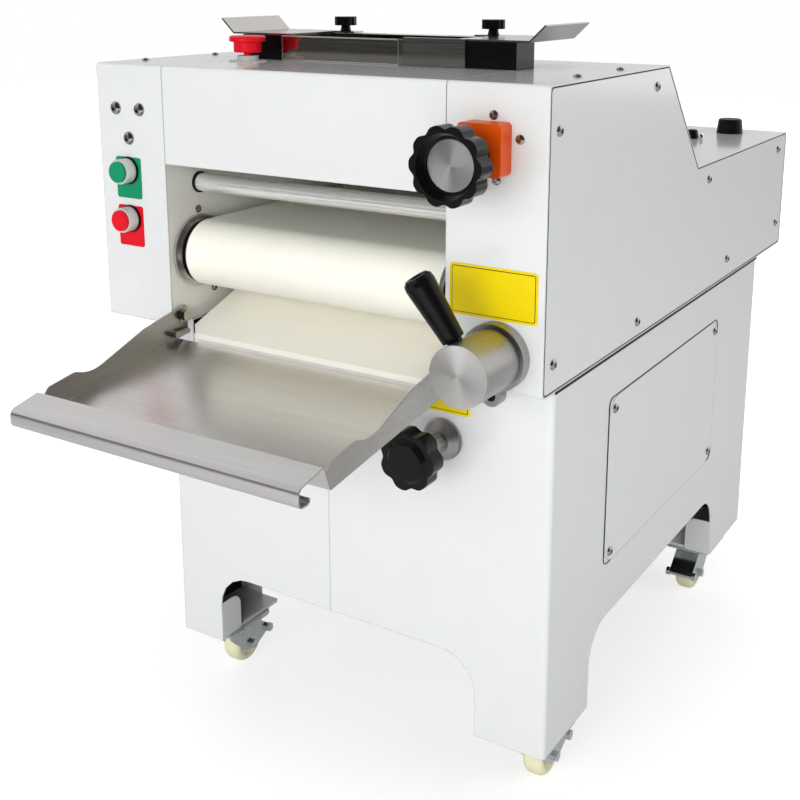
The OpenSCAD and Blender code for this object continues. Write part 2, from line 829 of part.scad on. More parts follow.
// Screws of the covers
front_shank_d = 8;
front_screw_d = 16;
front_screw_places = [[left_x + 29, top_z - 53], [left_x + 67, top_z - 53], [left_x + 48, top_z - 88]];
indicator_screw_places = [[spindle_x + 4, roll_z + 40], [spindle_x + 33, roll_z + 18],
    [spindle_x + 8, roll_z - 24]];
screw_edge = 22;
rim_w = 30;
cover_gap = 0.8;
top_screw_places_left = [for (y = [61, 190]) [left_x + screw_edge, y]];
top_screw_places_right = [for (y = [111, 225]) [right_x - screw_edge, y]];
wall_screw_places = [[front_roller_y + 2, roller_z + ring_d / 2 + 6],
    [front_roller_y + 26, roller_z - ring_d / 2 - 8]];
slope_mid = [top_depth + slope_run, deck_z];
cover_screw_places = [
    [screw_edge, top_z - 45], [top_depth - 38, top_z - screw_edge], [slope_mid.x + 45, deck_z - screw_edge],
    [housing_depth - 45, deck_z - screw_edge], [housing_depth - 32, housing_z + 38],
    [housing_depth - 275, housing_z + 28], [top_depth - 68, housing_z + 20], [screw_edge, housing_z + 32]
];

module side_cover(x0) {
    difference() {
        along_x(x0, sheet) housing_outline(sheet + cover_gap, edge_r);
        for (p = cover_screw_places) rod_x(x0 - cut, x0 + sheet + cut, p.x, p.y, small_shank_d + 2 * fit);
    }
}

module left_side_cover() {
    color("white") place() side_cover(left_x);
}

module right_side_cover() {
    color("white") place() side_cover(right_x - sheet);
}

module panel_screws() {
    color("silver") place() {
        for (p = cover_screw_places) {
            translate([left_x, p.x, p.y]) rotate([0, -90, 0]) button_screw(side_screw_d, small_shank_d, 8);
            translate([right_x, p.x, p.y]) rotate([0, 90, 0]) button_screw(side_screw_d, small_shank_d, 8);
        }
        for (p = access_screw_places) translate([base_x1 + access_t, p.x, p.y]) rotate([0, 90, 0])
            button_screw(side_screw_d, small_shank_d, access_t);
        for (p = concat(top_screw_places_left, top_screw_places_right)) translate([p.x, p.y, top_z])
            button_screw(small_screw_d, small_shank_d, 8);
        for (p = front_screw_places) translate([p.x, 0, p.y]) rotate([90, 0, 0])
            button_screw(front_screw_d, front_shank_d, 14);
        for (p = indicator_screw_places) translate([p.x, 0, p.y]) rotate([90, 0, 0])
            button_screw(small_screw_d, small_shank_d, 8);
        for (p = wall_screw_places) {
            translate([wall_left, p.x, p.y]) rotate([0, 90, 0]) button_screw(small_screw_d, small_shank_d, 6);
            translate([wall_right, p.x, p.y]) rotate([0, -90, 0])
                button_screw(small_screw_d, small_shank_d, 6);
        }
    }
}

// Cover between the boxes over the front and the top, with the throat of the hopper
module top_cover() {
    color("white") place() difference() {
        intersection() {
            housing_skin(wall_left + cover_gap, opening_w - 2 * cover_gap);
            block([wall_left, -cut, top_z - front_cover_h], [wall_right, top_depth - edge_r, top_z + cut]);
        }
        block([throat_x0 - hopper_sheet, throat_y0 - hopper_sheet, top_z - sheet - cut],
              [throat_x1 + hopper_sheet, throat_y1 + hopper_sheet, top_z + cut]);
        translate([estop_x, estop_y, top_z - sheet - cut]) cylinder(d = estop_hole_d, h = sheet + 2 * cut);
    }
}

// Hood between the boxes over the slope, the rear deck and the rear
module rear_hood() {
    color("white") place() intersection() {
        housing_skin(wall_left + cover_gap, opening_w - 2 * cover_gap);
        block([wall_left, top_depth - edge_r + pass, housing_z + sheet + cut],
              [wall_right, housing_depth + cut, top_z + cut]);
    }
}

// Guard bar under the front cover, tie bars and roll scraper between the side plates
tie_d = 16;
tie_places = [[housing_depth - 60, housing_z + 40], [housing_depth - 60, deck_z - 40],
    [top_depth - 30, top_z - 35]];

module cross_bars() {
    color("silver") place() {
        rod_x(wall_left, wall_right, guard_y, guard_z, guard_d);
        for (p = tie_places) rod_x(wall_left, wall_right, p.x, p.y, tie_d);
        rear_scraper();
    }
}

// Flanged bearing rings of the belt rollers on the inner walls
module bearing_rings() {
    color("silver") place() for (y = [front_roller_y, rear_roller_y], side = [0, 1]) {
        x0 = side == 0 ? wall_left : wall_right - ring_t;
        translate([x0, y, roller_z]) rotate([0, 90, 0]) difference() {
            union() {
                translate([0, 0, side == 0 ? 0 : ring_t / 2]) cylinder(d = ring_d, h = ring_t / 2);
                cylinder(d = ring_d - 12, h = ring_t);
            }
            translate([0, 0, -cut]) cylinder(d = shaft_d + 2 * fit, h = ring_t + 2 * cut);
        }
    }
}

module conveyor_belt() {
    front = [front_roller_y, roller_z];
    rear = [rear_roller_y, roller_z];
    r = roller_d / 2 + pass;
    color("oldlace") place() difference() {
        along_x(belt_x0, belt_x1 - belt_x0) polygon(loop(front, r + belt_t, rear, r + belt_t));
        along_x(belt_x0 - cut, belt_x1 - belt_x0 + 2 * cut) polygon(loop(front, r, rear, r));
    }
}

// Curved sheet that turns the dough round the rear roller and under the belt
guide_gap = 12;

module return_guide() {
    r = belt_r + guide_gap;
    color("silver") place() translate([wall_left, rear_roller_y, roller_z]) rotate([90, 0, 90]) difference() {
        cylinder(r = r + hopper_sheet, h = opening_w, $fn = 96);
        translate([0, 0, -cut]) cylinder(r = r, h = opening_w + 2 * cut, $fn = 96);
        translate([-2 * r, -2 * r, -cut]) cube([2 * r, 4 * r, opening_w + 2 * cut]);
    }
}

// Scraper blade under the rear sheeting roll, from wall to wall
module rear_scraper() {
    bar_t = 10;
    tip_y = rear_roll_y + 6;
    tip_z = roll_z - roll_d / 2 - 0.4;
    bar_z = tip_z - 26;
    points = [[tip_y, tip_z], [tip_y + 4, tip_z], [tip_y + 20, bar_z + bar_t], [tip_y + 20, bar_z],
              [tip_y + 8, bar_z], [tip_y + 8, bar_z + bar_t]];
    along_x(wall_left, opening_w) polygon(points);
}

// Hopper: four folded walls through the top cover and a flange that carries the guides
module hopper() {
    rail = 26;
    color("silver") place() difference() {
        union() {
            block([throat_x0 - hopper_sheet, throat_y0 - hopper_sheet, hopper_z0],
                  [throat_x1 + hopper_sheet, throat_y1 + hopper_sheet, hopper_z1]);
            block([throat_x0 - hopper_sheet, throat_y1, hopper_z1 - hopper_sheet],
                  [throat_x1 + hopper_sheet, throat_y1 + rail, hopper_z1]);
        }
        block([throat_x0, throat_y0, hopper_z0 - cut], [throat_x1, throat_y1, hopper_z1 + cut]);
        for (s = guide_slots)
            block([s[0], rail_y - slot_w / 2, hopper_z1 - hopper_sheet - cut],
                [s[1], rail_y + slot_w / 2, hopper_z1 + cut]);
    }
}

// Blocks at the ends of the hopper that carry the wings of the guides
module hopper_blocks() {
    color("black") place() for (x = [throat_x0 - hopper_sheet - end_block_w, throat_x1 + hopper_sheet])
        block([x, throat_y0, top_z], [x + end_block_w, throat_y0 + end_block_len, hopper_z1]);
}

// Sliding guides that set the width of the throat, each with a clamping thumb knob
guide_t = 2;
front_panel_w = 82;
slot_w = 7;
stud_d = 6;
rail_y = throat_y1 + 14;
left_guide_x = throat_x0 + 8;
right_guide_x = throat_x1 - 8 - guide_t;
left_stud_x = left_guide_x + 12;
right_stud_x = right_guide_x + guide_t - 12;
guide_slots = [
    [left_stud_x - slot_w / 2, left_stud_x + guide_travel + slot_w / 2],
    [right_stud_x - guide_travel - slot_w / 2, right_stud_x + slot_w / 2]
];

// A guide with its wall at x = 0 and its wing towards +X, and a front panel of width panel_w
module guide_shape(panel_w) {
    wing_z = hopper_z1 + pass;
    tongue = 30;
    panel_y = throat_y0 - hopper_sheet - pass - guide_t;
    panel_x1 = throat_x1 + hopper_sheet - right_guide_x;
    union() {
        if (panel_w > 0) {
            block([panel_x1 - panel_w, panel_y, top_z + pass],
                [panel_x1, panel_y + guide_t, wing_z + guide_t]);
            block([panel_x1 - panel_w, panel_y, wing_z], [panel_x1, throat_y0 + pass + 1, wing_z + guide_t]);
        }
        block([0, throat_y0 + pass, hopper_z0 + 4], [guide_t, throat_y1 - pass, wing_z + guide_t]);
        block([-tongue, rail_y - 11, wing_z], [guide_t, rail_y + 11, wing_z + guide_t]);
        block([0, throat_y0 + pass, wing_z], [guide_t, rail_y + 11, wing_z + guide_t]);
        along_y(throat_y0 + pass, rail_y + 11 - throat_y0 - pass) polygon([
            [0, wing_z], [guide_flat, wing_z], [guide_flat + wing_w, wing_z + wing_rise],
            [guide_flat + wing_w - guide_t * 0.7, wing_z + wing_rise + guide_t * 0.7],
            [guide_flat - guide_t * 0.4, wing_z + guide_t], [0, wing_z + guide_t]]);
    }
}

module hopper_guide_right() {
    color("silver") place() difference() {
        translate([right_guide_x, 0, 0]) guide_shape(front_panel_w);
        translate([right_stud_x, rail_y, hopper_z1 - cut]) cylinder(d = stud_d + 2 * fit, h = 10);
    }
}

module hopper_guide_left() {
    color("silver") place() difference() {
        translate([left_guide_x + guide_t, 0, 0]) mirror([1, 0, 0]) guide_shape(0);
        translate([left_stud_x, rail_y, hopper_z1 - cut]) cylinder(d = stud_d + 2 * fit, h = 10);
    }
}

module thumb_knob(x) {
    seat = hopper_z1 + pass + guide_t + fit;
    color("black") place() translate([x, rail_y, seat]) union() {
        cylinder(d1 = 14, d2 = 11, h = 7);
        translate([0, 0, 7]) linear_extrude(11) polygon(lobed(thumb_d / 2, 1.6, 10, 4));
        translate([0, 0, -hopper_sheet - guide_t - 6]) cylinder(d = stud_d, h = hopper_sheet + guide_t + 6.5);
        translate([0, 0, -guide_t - 2 * pass - fit - hopper_sheet - 4]) cylinder(d = 13, h = 4, $fn = 6);
    }
}

module thumb_knobs_left() { thumb_knob(left_stud_x); }
module thumb_knobs_right() { thumb_knob(right_stud_x); }

// Position indicator block of the gap spindle
module indicator_block() {
    z0 = roll_z - 18;
    points = [[spindle_x - block_w / 2, z0], [spindle_x + block_w / 2, z0],
              [spindle_x + block_w / 2, z0 + indicator_h], [spindle_x - block_w / 2, z0 + indicator_h]];
    color("orangered") place() difference() {
        along_y(-indicator_t, indicator_t) polygon(rounded(points, [for (p = points) indicator_r]));
        rod_y(-indicator_t - cut, cut, spindle_x, roll_z, spindle_d + 2 * fit);
    }
}

// Lobed handwheel with a dished face and a stepped hub behind it
module handwheel() {
    hub_d = 26;
    hub_ring_d = 34;
    hub_ring_t = 5;
    hub_cone_d = 46;
    hub_cone_h = 12;
    dish_h = 10;
    color("black") place() translate([spindle_x, -handwheel_out, roll_z]) rotate([-90, 0, 0]) difference() {
        union() {
            linear_extrude(handwheel_t) polygon(lobed(handwheel_d / 2, 4, 10, 8));
            translate([0, 0, handwheel_t - 1]) cylinder(d1 = hub_cone_d, d2 = hub_d + 2, h = hub_cone_h + 1);
            translate([0, 0, handwheel_t + hub_cone_h + 4]) cylinder(d = hub_ring_d, h = hub_ring_t);
            cylinder(d = hub_d, h = handwheel_out - indicator_t - pass);
        }
        translate([0, 0, -cut]) cylinder(d1 = handwheel_d - 14, d2 = disc_d + 4, h = dish_h + cut);
        translate([0, 0, dish_h - cut]) cylinder(d = disc_d + 1, h = disc_t + 1 + cut);
        translate([0, 0, -cut]) cylinder(d = spindle_d, h = handwheel_out + 2 * cut);
    }
}

// Gap spindle with the bright disc that closes the handwheel's face
module handwheel_spindle() {
    disc_y = -handwheel_out + 11;
    color("silver") place() union() {
        rod_y(disc_y, disc_y + disc_t, spindle_x, roll_z, disc_d);
        rod_y(disc_y, front_roll_y - block_front + 28, spindle_x, roll_z, spindle_d);
    }
}

// Carriage that slides the front roll: two bearing blocks joined by a bar
module roll_carriage() {
    y0 = front_roll_y - block_front;
    y1 = front_roll_y + block_back;
    left_x1 = wall_left - side_plate_t - block_gap;
    color("gray") place() difference() {
        union() {
            block([left_x1 - left_block_w, y0, roll_z - block_h / 2], [left_x1, y1, roll_z + block_h / 2]);
            block([right_block_x0, y0, roll_z - block_h / 2], [right_block_x1, y1, roll_z + block_h / 2]);
            rod_x(left_x1 - 1, right_block_x0 + 1, bar_y, roll_z, bar_d);
        }
        rod_x(left_x1 - left_block_w - cut, left_x1 + cut, front_roll_y, roll_z, shaft_d + 2 * fit);
        rod_x(right_block_x0 - cut, right_block_x0 + 26, front_roll_y, roll_z, shaft_d + 2 * fit);
        rod_y(y0 - cut, y0 + 40, spindle_x, roll_z, spindle_d + 2 * fit);
    }
}

// A sheeting roll with its journals and its pressed-on gear
module sheeting_roll(y, left_end, right_end, turn) {
    union() {
        rod_x(roll_x0, roll_x1, y, roll_z, roll_d);
        rod_x(left_end, right_end, y, roll_z, shaft_d);
        translate([gear_x, y, roll_z]) rotate([90, 0, 90]) linear_extrude(gear_w)
            polygon(gear(gear_pitch_d / 2, gear_teeth, turn));
    }
}

half_tooth = 180 / gear_teeth;

module front_roll() {
    color("whitesmoke") place() sheeting_roll(front_roll_y, gear_x - 4, right_block_x0 + 25, 0);
}

module rear_roll() {
    turn = gear_teeth % 2 == 0 ? half_tooth : 0;
    color("whitesmoke") place() sheeting_roll(rear_roll_y, gear_x - 4, wall_right + side_plate_t + 6, turn);
}

// Layshaft that turns the rear roll, with its gear and its toothed-belt pulley
module jackshaft() {
    rear_turn = gear_teeth % 2 == 0 ? half_tooth : 0;
    turn = 2 * (180 - jack_angle) - rear_turn + (gear_teeth % 2 == 0 ? half_tooth : 0);
    color("gray") place() union() {
        rod_x(timing_x - 3, wall_left, jack_y, jack_z, shaft_d);
        translate([gear_x, jack_y, jack_z]) rotate([90, 0, 90]) linear_extrude(gear_w)
            polygon(gear(gear_pitch_d / 2, gear_teeth, turn));
        pulley(timing_x, timing_w, jack_y, jack_z, timing_r);
    }
}

// Flanged pulley along X for a belt of inner radius r
module pulley(x0, w, y, z, r) {
    rim = 1.5;
    union() {
        rod_x(x0, x0 + w, y, z, 2 * r);
        for (x = [x0 - rim, x0 + w]) rod_x(x, x + rim, y, z, 2 * r + 6);
    }
}

// Belt rollers
module belt_roller_front() {
    color("silver") place() union() {
        rod_x(belt_x0 - 4, belt_x1 + 4, front_roller_y, roller_z, roller_d);
        rod_x(wall_left - side_plate_t - 6, wall_right + side_plate_t + 6, front_roller_y, roller_z, shaft_d);
    }
}

module belt_roller_rear() {
    color("silver") place() union() {
        rod_x(belt_x0 - 4, belt_x1 + 4, rear_roller_y, roller_z, roller_d);
        rod_x(timing_x - 3, drive_x + drive_w + 4, rear_roller_y, roller_z, shaft_d);
        pulley(timing_x, timing_w, rear_roller_y, roller_z, timing_r);
        pulley(drive_x, drive_w, rear_roller_y, roller_z, driven_pulley_r);
    }
}

// Motor on its foot, with cooling ribs and a terminal box
motor_shaft_d = 19;

module motor() {
    ribs = 12;
    color("gray") place() difference() {
        union() {
            rod_x(motor_x0, motor_x1 - 14, motor_y, motor_z, motor_d - 14);
            rod_x(motor_x1 - 14, motor_x1, motor_y, motor_z, motor_d);
            rod_x(motor_x0 - 40, motor_x0, motor_y, motor_z, motor_d - 6);
            for (i = [0:ribs - 1]) translate([motor_x0, motor_y, motor_z]) rotate([360 * i / ribs, 0, 0])
                translate([0, -1.5, 0]) cube([motor_x1 - motor_x0 - 14, 3, motor_d / 2 - 1]);
            block([motor_x0 + 20, motor_y - 55, shelf_z + shelf_t],
                [motor_x1 - 30, motor_y + 55, shelf_z + shelf_t + 10]);
            block([motor_x0 + 30, motor_y - 40, shelf_z + shelf_t], [motor_x1 - 40, motor_y + 40, motor_z]);
            block([motor_x0 + 40, motor_y - 35, motor_z],
                [motor_x1 - 50, motor_y + 35, motor_z + motor_d / 2 + 22]);
        }
        rod_x(motor_x1 - 60, motor_x1 + cut, motor_y, motor_z, motor_shaft_d + 2 * fit);
    }
}

module motor_pulley() {
    color("dimgray") place() union() {
        rod_x(motor_x1 - 59, drive_x + drive_w + 4, motor_y, motor_z, motor_shaft_d);
        pulley(drive_x, drive_w, motor_y, motor_z, motor_pulley_r);
    }
}

// A drive belt between two pulleys
module drive_belt(x0, w, c1, r1, c2, r2) {
    g = drive_belt_gap;
    t = g + drive_belt_t;
    side = 1;
    difference() {
        along_x(x0 + side, w - 2 * side) polygon(loop(c1, r1 + t, c2, r2 + t));
        along_x(x0, w) polygon(loop(c1, r1 + g, c2, r2 + g));
    }
}

module drive_belts() {
    rear = [rear_roller_y, roller_z];
    color("black") place() {
        drive_belt(drive_x, drive_w, [motor_y, motor_z], motor_pulley_r, rear, driven_pulley_r);
        drive_belt(timing_x, timing_w, [jack_y, jack_z], timing_r, rear, timing_r);
    }
}

// Cable gland at the back of the base
gland_x = base_x1 - 70;
gland_z = leg_z + arch_h + 60;
gland_d = 28;
gland_out = 22;
gland_bore = 10;
gland_thread_d = 20;

module cable_gland() {
    color("black") place() difference() {
        union() {
            translate([gland_x, base_y1, gland_z]) rotate([-90, 0, 0]) {
                cylinder(d = gland_d, h = 8, $fn = 6);
                cylinder(d1 = gland_d - 3, d2 = gland_d - 8, h = gland_out);
            }
            rod_y(base_y1 - 12, base_y1 + 1, gland_x, gland_z, gland_thread_d);
        }
        rod_y(base_y1 - 12 - cut, base_y1 + gland_out + cut, gland_x, gland_z, gland_bore);
    }
}

// Two rubber stops on the rear deck, the smaller one with a domed screw
module deck_stop(place_xy, d, h) {
    taper = h * 0.12;
    points = [[0, 0], [d / 2, 0], [d / 2 - taper, h], [0, h]];
    translate([place_xy.x, place_xy.y, deck_z]) rotate_extrude()
        polygon(rounded(points, [0, 1, stop_edge_r, 0]));
}

module deck_stops() {
    color("black") place() {
        deck_stop([right_x - stop_in, housing_depth - stop_back], stop_d, stop_h);
        deck_stop([right_x - stop_in - 28, housing_depth - stop_back - 93], stop_d * 0.45, stop_h * 0.6);
    }
}

// Cam lever: flange with clamping lug, barrel with shaft and cam, and grip
bush_d = 40;
bush_len = 40;
flange_d = barrel_d + 8;
clamp_lug_d = 22;
clamp_z = cam_z - flange_d / 2 - 4;
clamp_hole_d = 10.6;
clamp_hole_len = 7;

module cam_flange() {
    color("silver") place() difference() {
        union() {
            rod_y(-flange_t, 0, cam_x, cam_z, flange_d);
            rod_y(-1, bush_len, cam_x, cam_z, bush_d - 2 * pass);
            rod_y(-flange_t, 0, cam_x, clamp_z, clamp_lug_d);
        }
        rod_y(-flange_t - cut, bush_len + cut, cam_x, cam_z, lever_shaft_d + 2 * fit);
        rod_y(-flange_t - cut, -flange_t + clamp_hole_len, cam_x, clamp_z, clamp_hole_d);
    }
}

module cam_lever() {
    color("silver") place() difference() {
        union() {
            rod_y(-barrel_out, -flange_t - pass, cam_x, cam_z, barrel_d);
            rod_y(-flange_t - 1, cam_y - cam_w / 2 + 1, cam_x, cam_z, lever_shaft_d);
            rod_y(cam_y - cam_w / 2, cam_y + cam_w / 2, cam_x + cam_throw * sin(cam_start),
                  cam_z + cam_throw * cos(cam_start), 2 * cam_r);
        }
        translate([cam_x, grip_y, cam_z]) rotate([lever_tilt, -lever_lean, 0])
            translate([0, 0, barrel_d / 2 - 12]) cylinder(d = grip_neck_d, h = 20);
    }
}

grip_neck_d = 16;
grip_low_d = 24;
grip_top_d = 32;

module lever_grip() {
    low = barrel_d / 2 + 4;
    color("black") place() translate([cam_x, grip_y, cam_z]) rotate([lever_tilt, -lever_lean, 0])
        difference() {
        union() {
            translate([0, 0, barrel_d / 2 - 12]) cylinder(d = grip_neck_d, h = 17);
            translate([0, 0, low]) rotate_extrude() polygon([
                [0, 0], [grip_low_d / 2, 0], [grip_top_d / 2, grip_reach - low - 8],
                [grip_top_d / 2 - 1, grip_reach - low - 3], [grip_top_d / 2 - 4, grip_reach - low],
                [0, grip_reach - low]]);
        }
        translate([0, 0, grip_reach - 7]) cylinder(d = 13, h = 7 + cut);
    }
}

// Pressure board with its chute, hinge pins and the lug that rests on the cam
module pressure_board() {
    corner_cut = 14;
    chute_z = board_z - chute_drop;
    profile = [[board_front_y, chute_z], [board_knee_y, board_z], [board_rear_y, board_z],
               [board_rear_y, board_z - board_t], [board_knee_y + 2, board_z - board_t],
               [board_front_y, chute_z - board_t * 0.6]];
    color("linen") place() union() {
        difference() {
            along_x(belt_x0, belt_x1 - belt_x0) polygon(profile);
            for (x = [belt_x0, belt_x1]) translate([x, board_front_y, chute_z - board_t]) rotate([0, 0, 45])
                cube([corner_cut * sqrt(2), corner_cut * sqrt(2), 3 * board_t], center = true);
        }
        rod_x(wall_left - side_plate_t - 2, wall_right + side_plate_t + 2, board_pin_y,
            board_z - board_t / 2, board_pin_d);
        block([belt_x1 - 6, lug_y0, board_z - board_t + 1], [lug_x + lug_t, lug_y1, board_z - 2]);
        block([lug_x, lug_y0, board_z - board_t + 1], [lug_x + lug_t, lug_y1, follower_z + lug_t]);
        block([lug_x, lug_y0, follower_z], [cam_x + cam_r + cam_throw + 4, lug_y1, follower_z + lug_t]);
    }
}

// Star knob and its flange on the base
module knob_flange() {
    color("silver") place() difference() {
        translate([star_x, base_y0, star_z]) rotate([90, 0, 0]) union() {
            cylinder(d = 48, h = 4);
            translate([0, 0, 4]) cylinder(d1 = 44, d2 = 26, h = knob_flange_t - 4);
            cylinder(d = sleeve_d, h = sleeve_t);
        }
        rod_y(base_y0 - sleeve_t - cut, base_y0 + cut, star_x, star_z, spindle_d + 2 * fit);
    }
}

module star_knob() {
    color("black") place() union() {
        translate([star_x, -star_out, star_z]) rotate([-90, 0, 0]) union() {
            translate([0, 0, 5]) linear_extrude(star_t - 5) polygon(lobed(star_d / 2, 4, 7, 10));
            cylinder(d1 = star_d * 0.6, d2 = star_d * 0.76, h = 5.01);
            translate([0, 0, star_t]) cylinder(d1 = 30, d2 = 22, h = star_hub_t);
        }
        rod_y(-star_out + star_t, base_y0 + 30, star_x, star_z, spindle_d);
    }
}

// Tray of folded sheet: pan, shaped walls, front lip with its hook, and a bent stay on the left wall
module tray_wall_outline() {
    high = tray_z + 40;
    dip_y = tray_front_y + 75;
    hump_y = tray_front_y + 52;
    seat = tray_sheet / 2;
    points = [[tray_rear_y, tray_z + seat], [tray_rear_y, high], [-52, high - 15], [dip_y, tray_front_z + 27],
              [hump_y, tray_front_z + 35], [tray_front_y + 14, lip_z + 2],
              [tray_front_y + step_lean * 0.3 + seat, lip_z - 9],
              [tray_front_y + step_lean + seat, tray_front_z + seat]];
    polygon(rounded(points, [0, 6, 60, 50, 14, 6, 2, 0]));
}

module tray() {
    t = tray_sheet;
    width = tray_x1 - tray_x0;
    pan_slope = tray_fall / (tray_rear_y - tray_front_y - step_lean);
    pan_path = [[pan_rear_y, tray_z - (tray_rear_y - pan_rear_y) * pan_slope],
        [tray_front_y + step_lean, tray_front_z], [tray_front_y, lip_z - t],
                [lip_front_y + t, lip_z - lip_fall - t], [lip_front_y + t, lip_z - lip_h + t],
                [lip_front_y + lip_hook, lip_z - lip_h + t],
                [lip_front_y + lip_hook, lip_z - lip_h + lip_hem]];
    color("silver") place() difference() {
        union() {
            for (x = [tray_x0, tray_x1 - t]) along_x(x, t) tray_wall_outline();
            along_x(tray_x0, width) polygon(bent(pan_path, t, [1, 1, 7, 5, 3]));
            rod_x(tray_x0, tray_x0 + stay_in + stay_d / 2, stay_y, stay_z, stay_d + 1);
            rod_y(stay_y, stay_y + stay_len, tray_x0 + stay_in, stay_z, stay_d);
        }
        rod_x(tray_x0 - cut, tray_x1 + cut, pivot_y, pivot_z, pivot_d + 2 * fit);
    }
}

// Pivot screws of the tray, with washers inside the tray walls
module tray_pins() {
    seat = tray_x0 + tray_sheet + pass;
    color("silver") place() {
        for (side = [0, 1]) translate([side * (wall_left + wall_right), 0, 0]) mirror([side, 0, 0]) {
            rod_x(wall_left - side_plate_t, seat + pin_washer_t + 1, pivot_y, pivot_z, pivot_d);
            rod_x(seat, seat + pin_washer_t, pivot_y, pivot_z, pin_washer_d);
            rod_x(seat + pin_washer_t, seat + pin_washer_t + pin_head_t, pivot_y, pivot_z, pin_head_d);
        }
    }
}

// Legend plates and bezels of the push buttons, and the body of the emergency stop
module button_plates() {
    color("seagreen") place() for (z = [start_z, stop_z]) difference() {
        along_y(-plate_t, plate_t) polygon(rounded([
            [button_x - plate_w / 2, z - 34], [button_x + plate_w / 2, z - 34],
            [button_x + plate_w / 2, z + plate_h - 34], [button_x - plate_w / 2, z + plate_h - 34]],
            [3, 3, 3, 3]));
        rod_y(-plate_t - cut, cut, button_x, z, cap_d - 2);
    }
}

estop_post_h = 7;
estop_post_d = 26;
estop_plate_d = 46;
estop_hole_d = 22;
estop_stem_d = 10;
estop_depth = 40;
button_stem_d = 8;
button_socket = 12;
button_depth = 34;
stem_depth = 20;

module button_bezels() {
    color("silver") place() {
        for (z = [start_z, stop_z]) difference() {
            union() {
                rod_y(-plate_t - bezel_t, -plate_t, button_x, z, bezel_d);
                rod_y(-plate_t - 0.01, button_depth, button_x, z, cap_d - 2 - 2 * pass);
            }
            rod_y(-plate_t - bezel_t - cut, -plate_t - bezel_t + button_socket, button_x, z, cap_d + 2 * fit);
            rod_y(-plate_t - bezel_t, stem_depth, button_x, z, button_stem_d + 2 * fit);
        }
        translate([estop_x, estop_y, top_z]) difference() {
            union() {
                cylinder(d = estop_plate_d, h = plate_t);
                cylinder(d = estop_post_d, h = estop_post_h);
                translate([0, 0, -estop_depth])
                    cylinder(d = estop_hole_d - 2 * pass, h = estop_depth + plate_t);
            }
            translate([0, 0, cut - estop_depth])
                cylinder(d = estop_stem_d + 2 * fit, h = estop_depth + estop_post_h);
        }
    }
}

module push_button(z) {
    face = -plate_t - bezel_t - cap_rise;
    union() {
        rod_y(face, -plate_t - bezel_t + button_socket - button_travel - pass, button_x, z, cap_d);
        rod_y(face + 2, stem_depth - button_travel - pass - 1, button_x, z, button_stem_d);
    }
}

module start_button() {
    color("mediumseagreen") place() push_button(start_z);
}

module stop_button() {
    color("crimson") place() push_button(stop_z);
}

module estop_head() {
    gap = button_travel + 1;
    color("crimson") place() translate([estop_x, estop_y, top_z + estop_post_h + gap]) union() {
        rotate_extrude() polygon([
            [0, 0], [estop_d / 2 - 6, 0], [estop_d / 2 - 5, 1], [estop_d / 2 - 5, 12], [estop_d / 2, 13],
            [estop_d / 2, 18],
            [estop_d / 2 - 1.5, 19.5], [0, 20]]);
        translate([0, 0, -estop_post_h - gap - stem_depth])
            cylinder(d = estop_stem_d, h = estop_post_h + gap + stem_depth + 1);
    }
}

base_shell_left();
base_shell_right();
base_deck();
motor_shelf();
caster_plates();
access_panel();
panel_screws();
side_plate_left();
side_plate_right();
left_box();
right_box();
left_side_cover();
right_side_cover();
top_cover();
rear_hood();
cross_bars();
bearing_rings();
conveyor_belt();
return_guide();
hopper();
hopper_blocks();
indicator_block();
cam_flange();
knob_flange();
button_plates();
button_bezels();
tray_pins();
motor();
drive_belts();
cable_gland();
deck_stops();
handwheel();
handwheel_spindle();
roll_carriage();
front_roll();
rear_roll();
jackshaft();
belt_roller_front();
belt_roller_rear();
motor_pulley();
cam_lever();
lever_grip();
pressure_board();
star_knob();
tray();
start_button();
stop_button();
estop_head();
hopper_guide_left();
hopper_guide_right();
thumb_knobs_left();
thumb_knobs_right();
caster_fork_fl();
caster_fork_fr();
caster_fork_rl();
caster_fork_rr();
caster_wheel_fl();
caster_wheel_fr();
caster_wheel_rl();
caster_wheel_rr();
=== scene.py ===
"""Looks, light and camera of a dough moulder on casters."""
import json
import math
import bpy
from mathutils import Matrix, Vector

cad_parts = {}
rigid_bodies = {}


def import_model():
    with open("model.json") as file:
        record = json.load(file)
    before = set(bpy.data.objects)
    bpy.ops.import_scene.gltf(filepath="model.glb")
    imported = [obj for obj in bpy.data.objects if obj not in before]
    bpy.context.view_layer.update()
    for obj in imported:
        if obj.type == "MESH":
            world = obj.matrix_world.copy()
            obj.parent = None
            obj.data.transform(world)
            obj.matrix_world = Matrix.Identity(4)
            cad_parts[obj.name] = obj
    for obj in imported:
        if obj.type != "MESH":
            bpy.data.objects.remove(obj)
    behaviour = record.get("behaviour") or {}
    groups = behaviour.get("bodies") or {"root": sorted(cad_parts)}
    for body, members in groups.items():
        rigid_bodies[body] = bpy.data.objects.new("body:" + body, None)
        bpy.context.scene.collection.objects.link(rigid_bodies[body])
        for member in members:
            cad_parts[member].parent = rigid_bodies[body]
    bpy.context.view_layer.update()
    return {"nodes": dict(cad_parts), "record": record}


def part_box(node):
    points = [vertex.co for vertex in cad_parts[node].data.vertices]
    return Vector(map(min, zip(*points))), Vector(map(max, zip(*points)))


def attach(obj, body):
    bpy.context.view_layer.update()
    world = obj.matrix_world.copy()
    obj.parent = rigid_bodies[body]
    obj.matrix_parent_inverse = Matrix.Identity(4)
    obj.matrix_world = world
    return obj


for left_over in list(bpy.data.objects):
    bpy.data.objects.remove(left_over)

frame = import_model()
nodes = frame["nodes"]
mm = 0.001

# Sockets of the Mix node in its colour mode
mix_factor = 0
mix_first = 6
mix_second = 7
mix_result = 2

# Shader helpers


def shader_node(tree, kind, **settings):
    """A new node with these settings."""
    made = tree.nodes.new(kind)
    for key, value in settings.items():
        setattr(made, key, value)
    return made


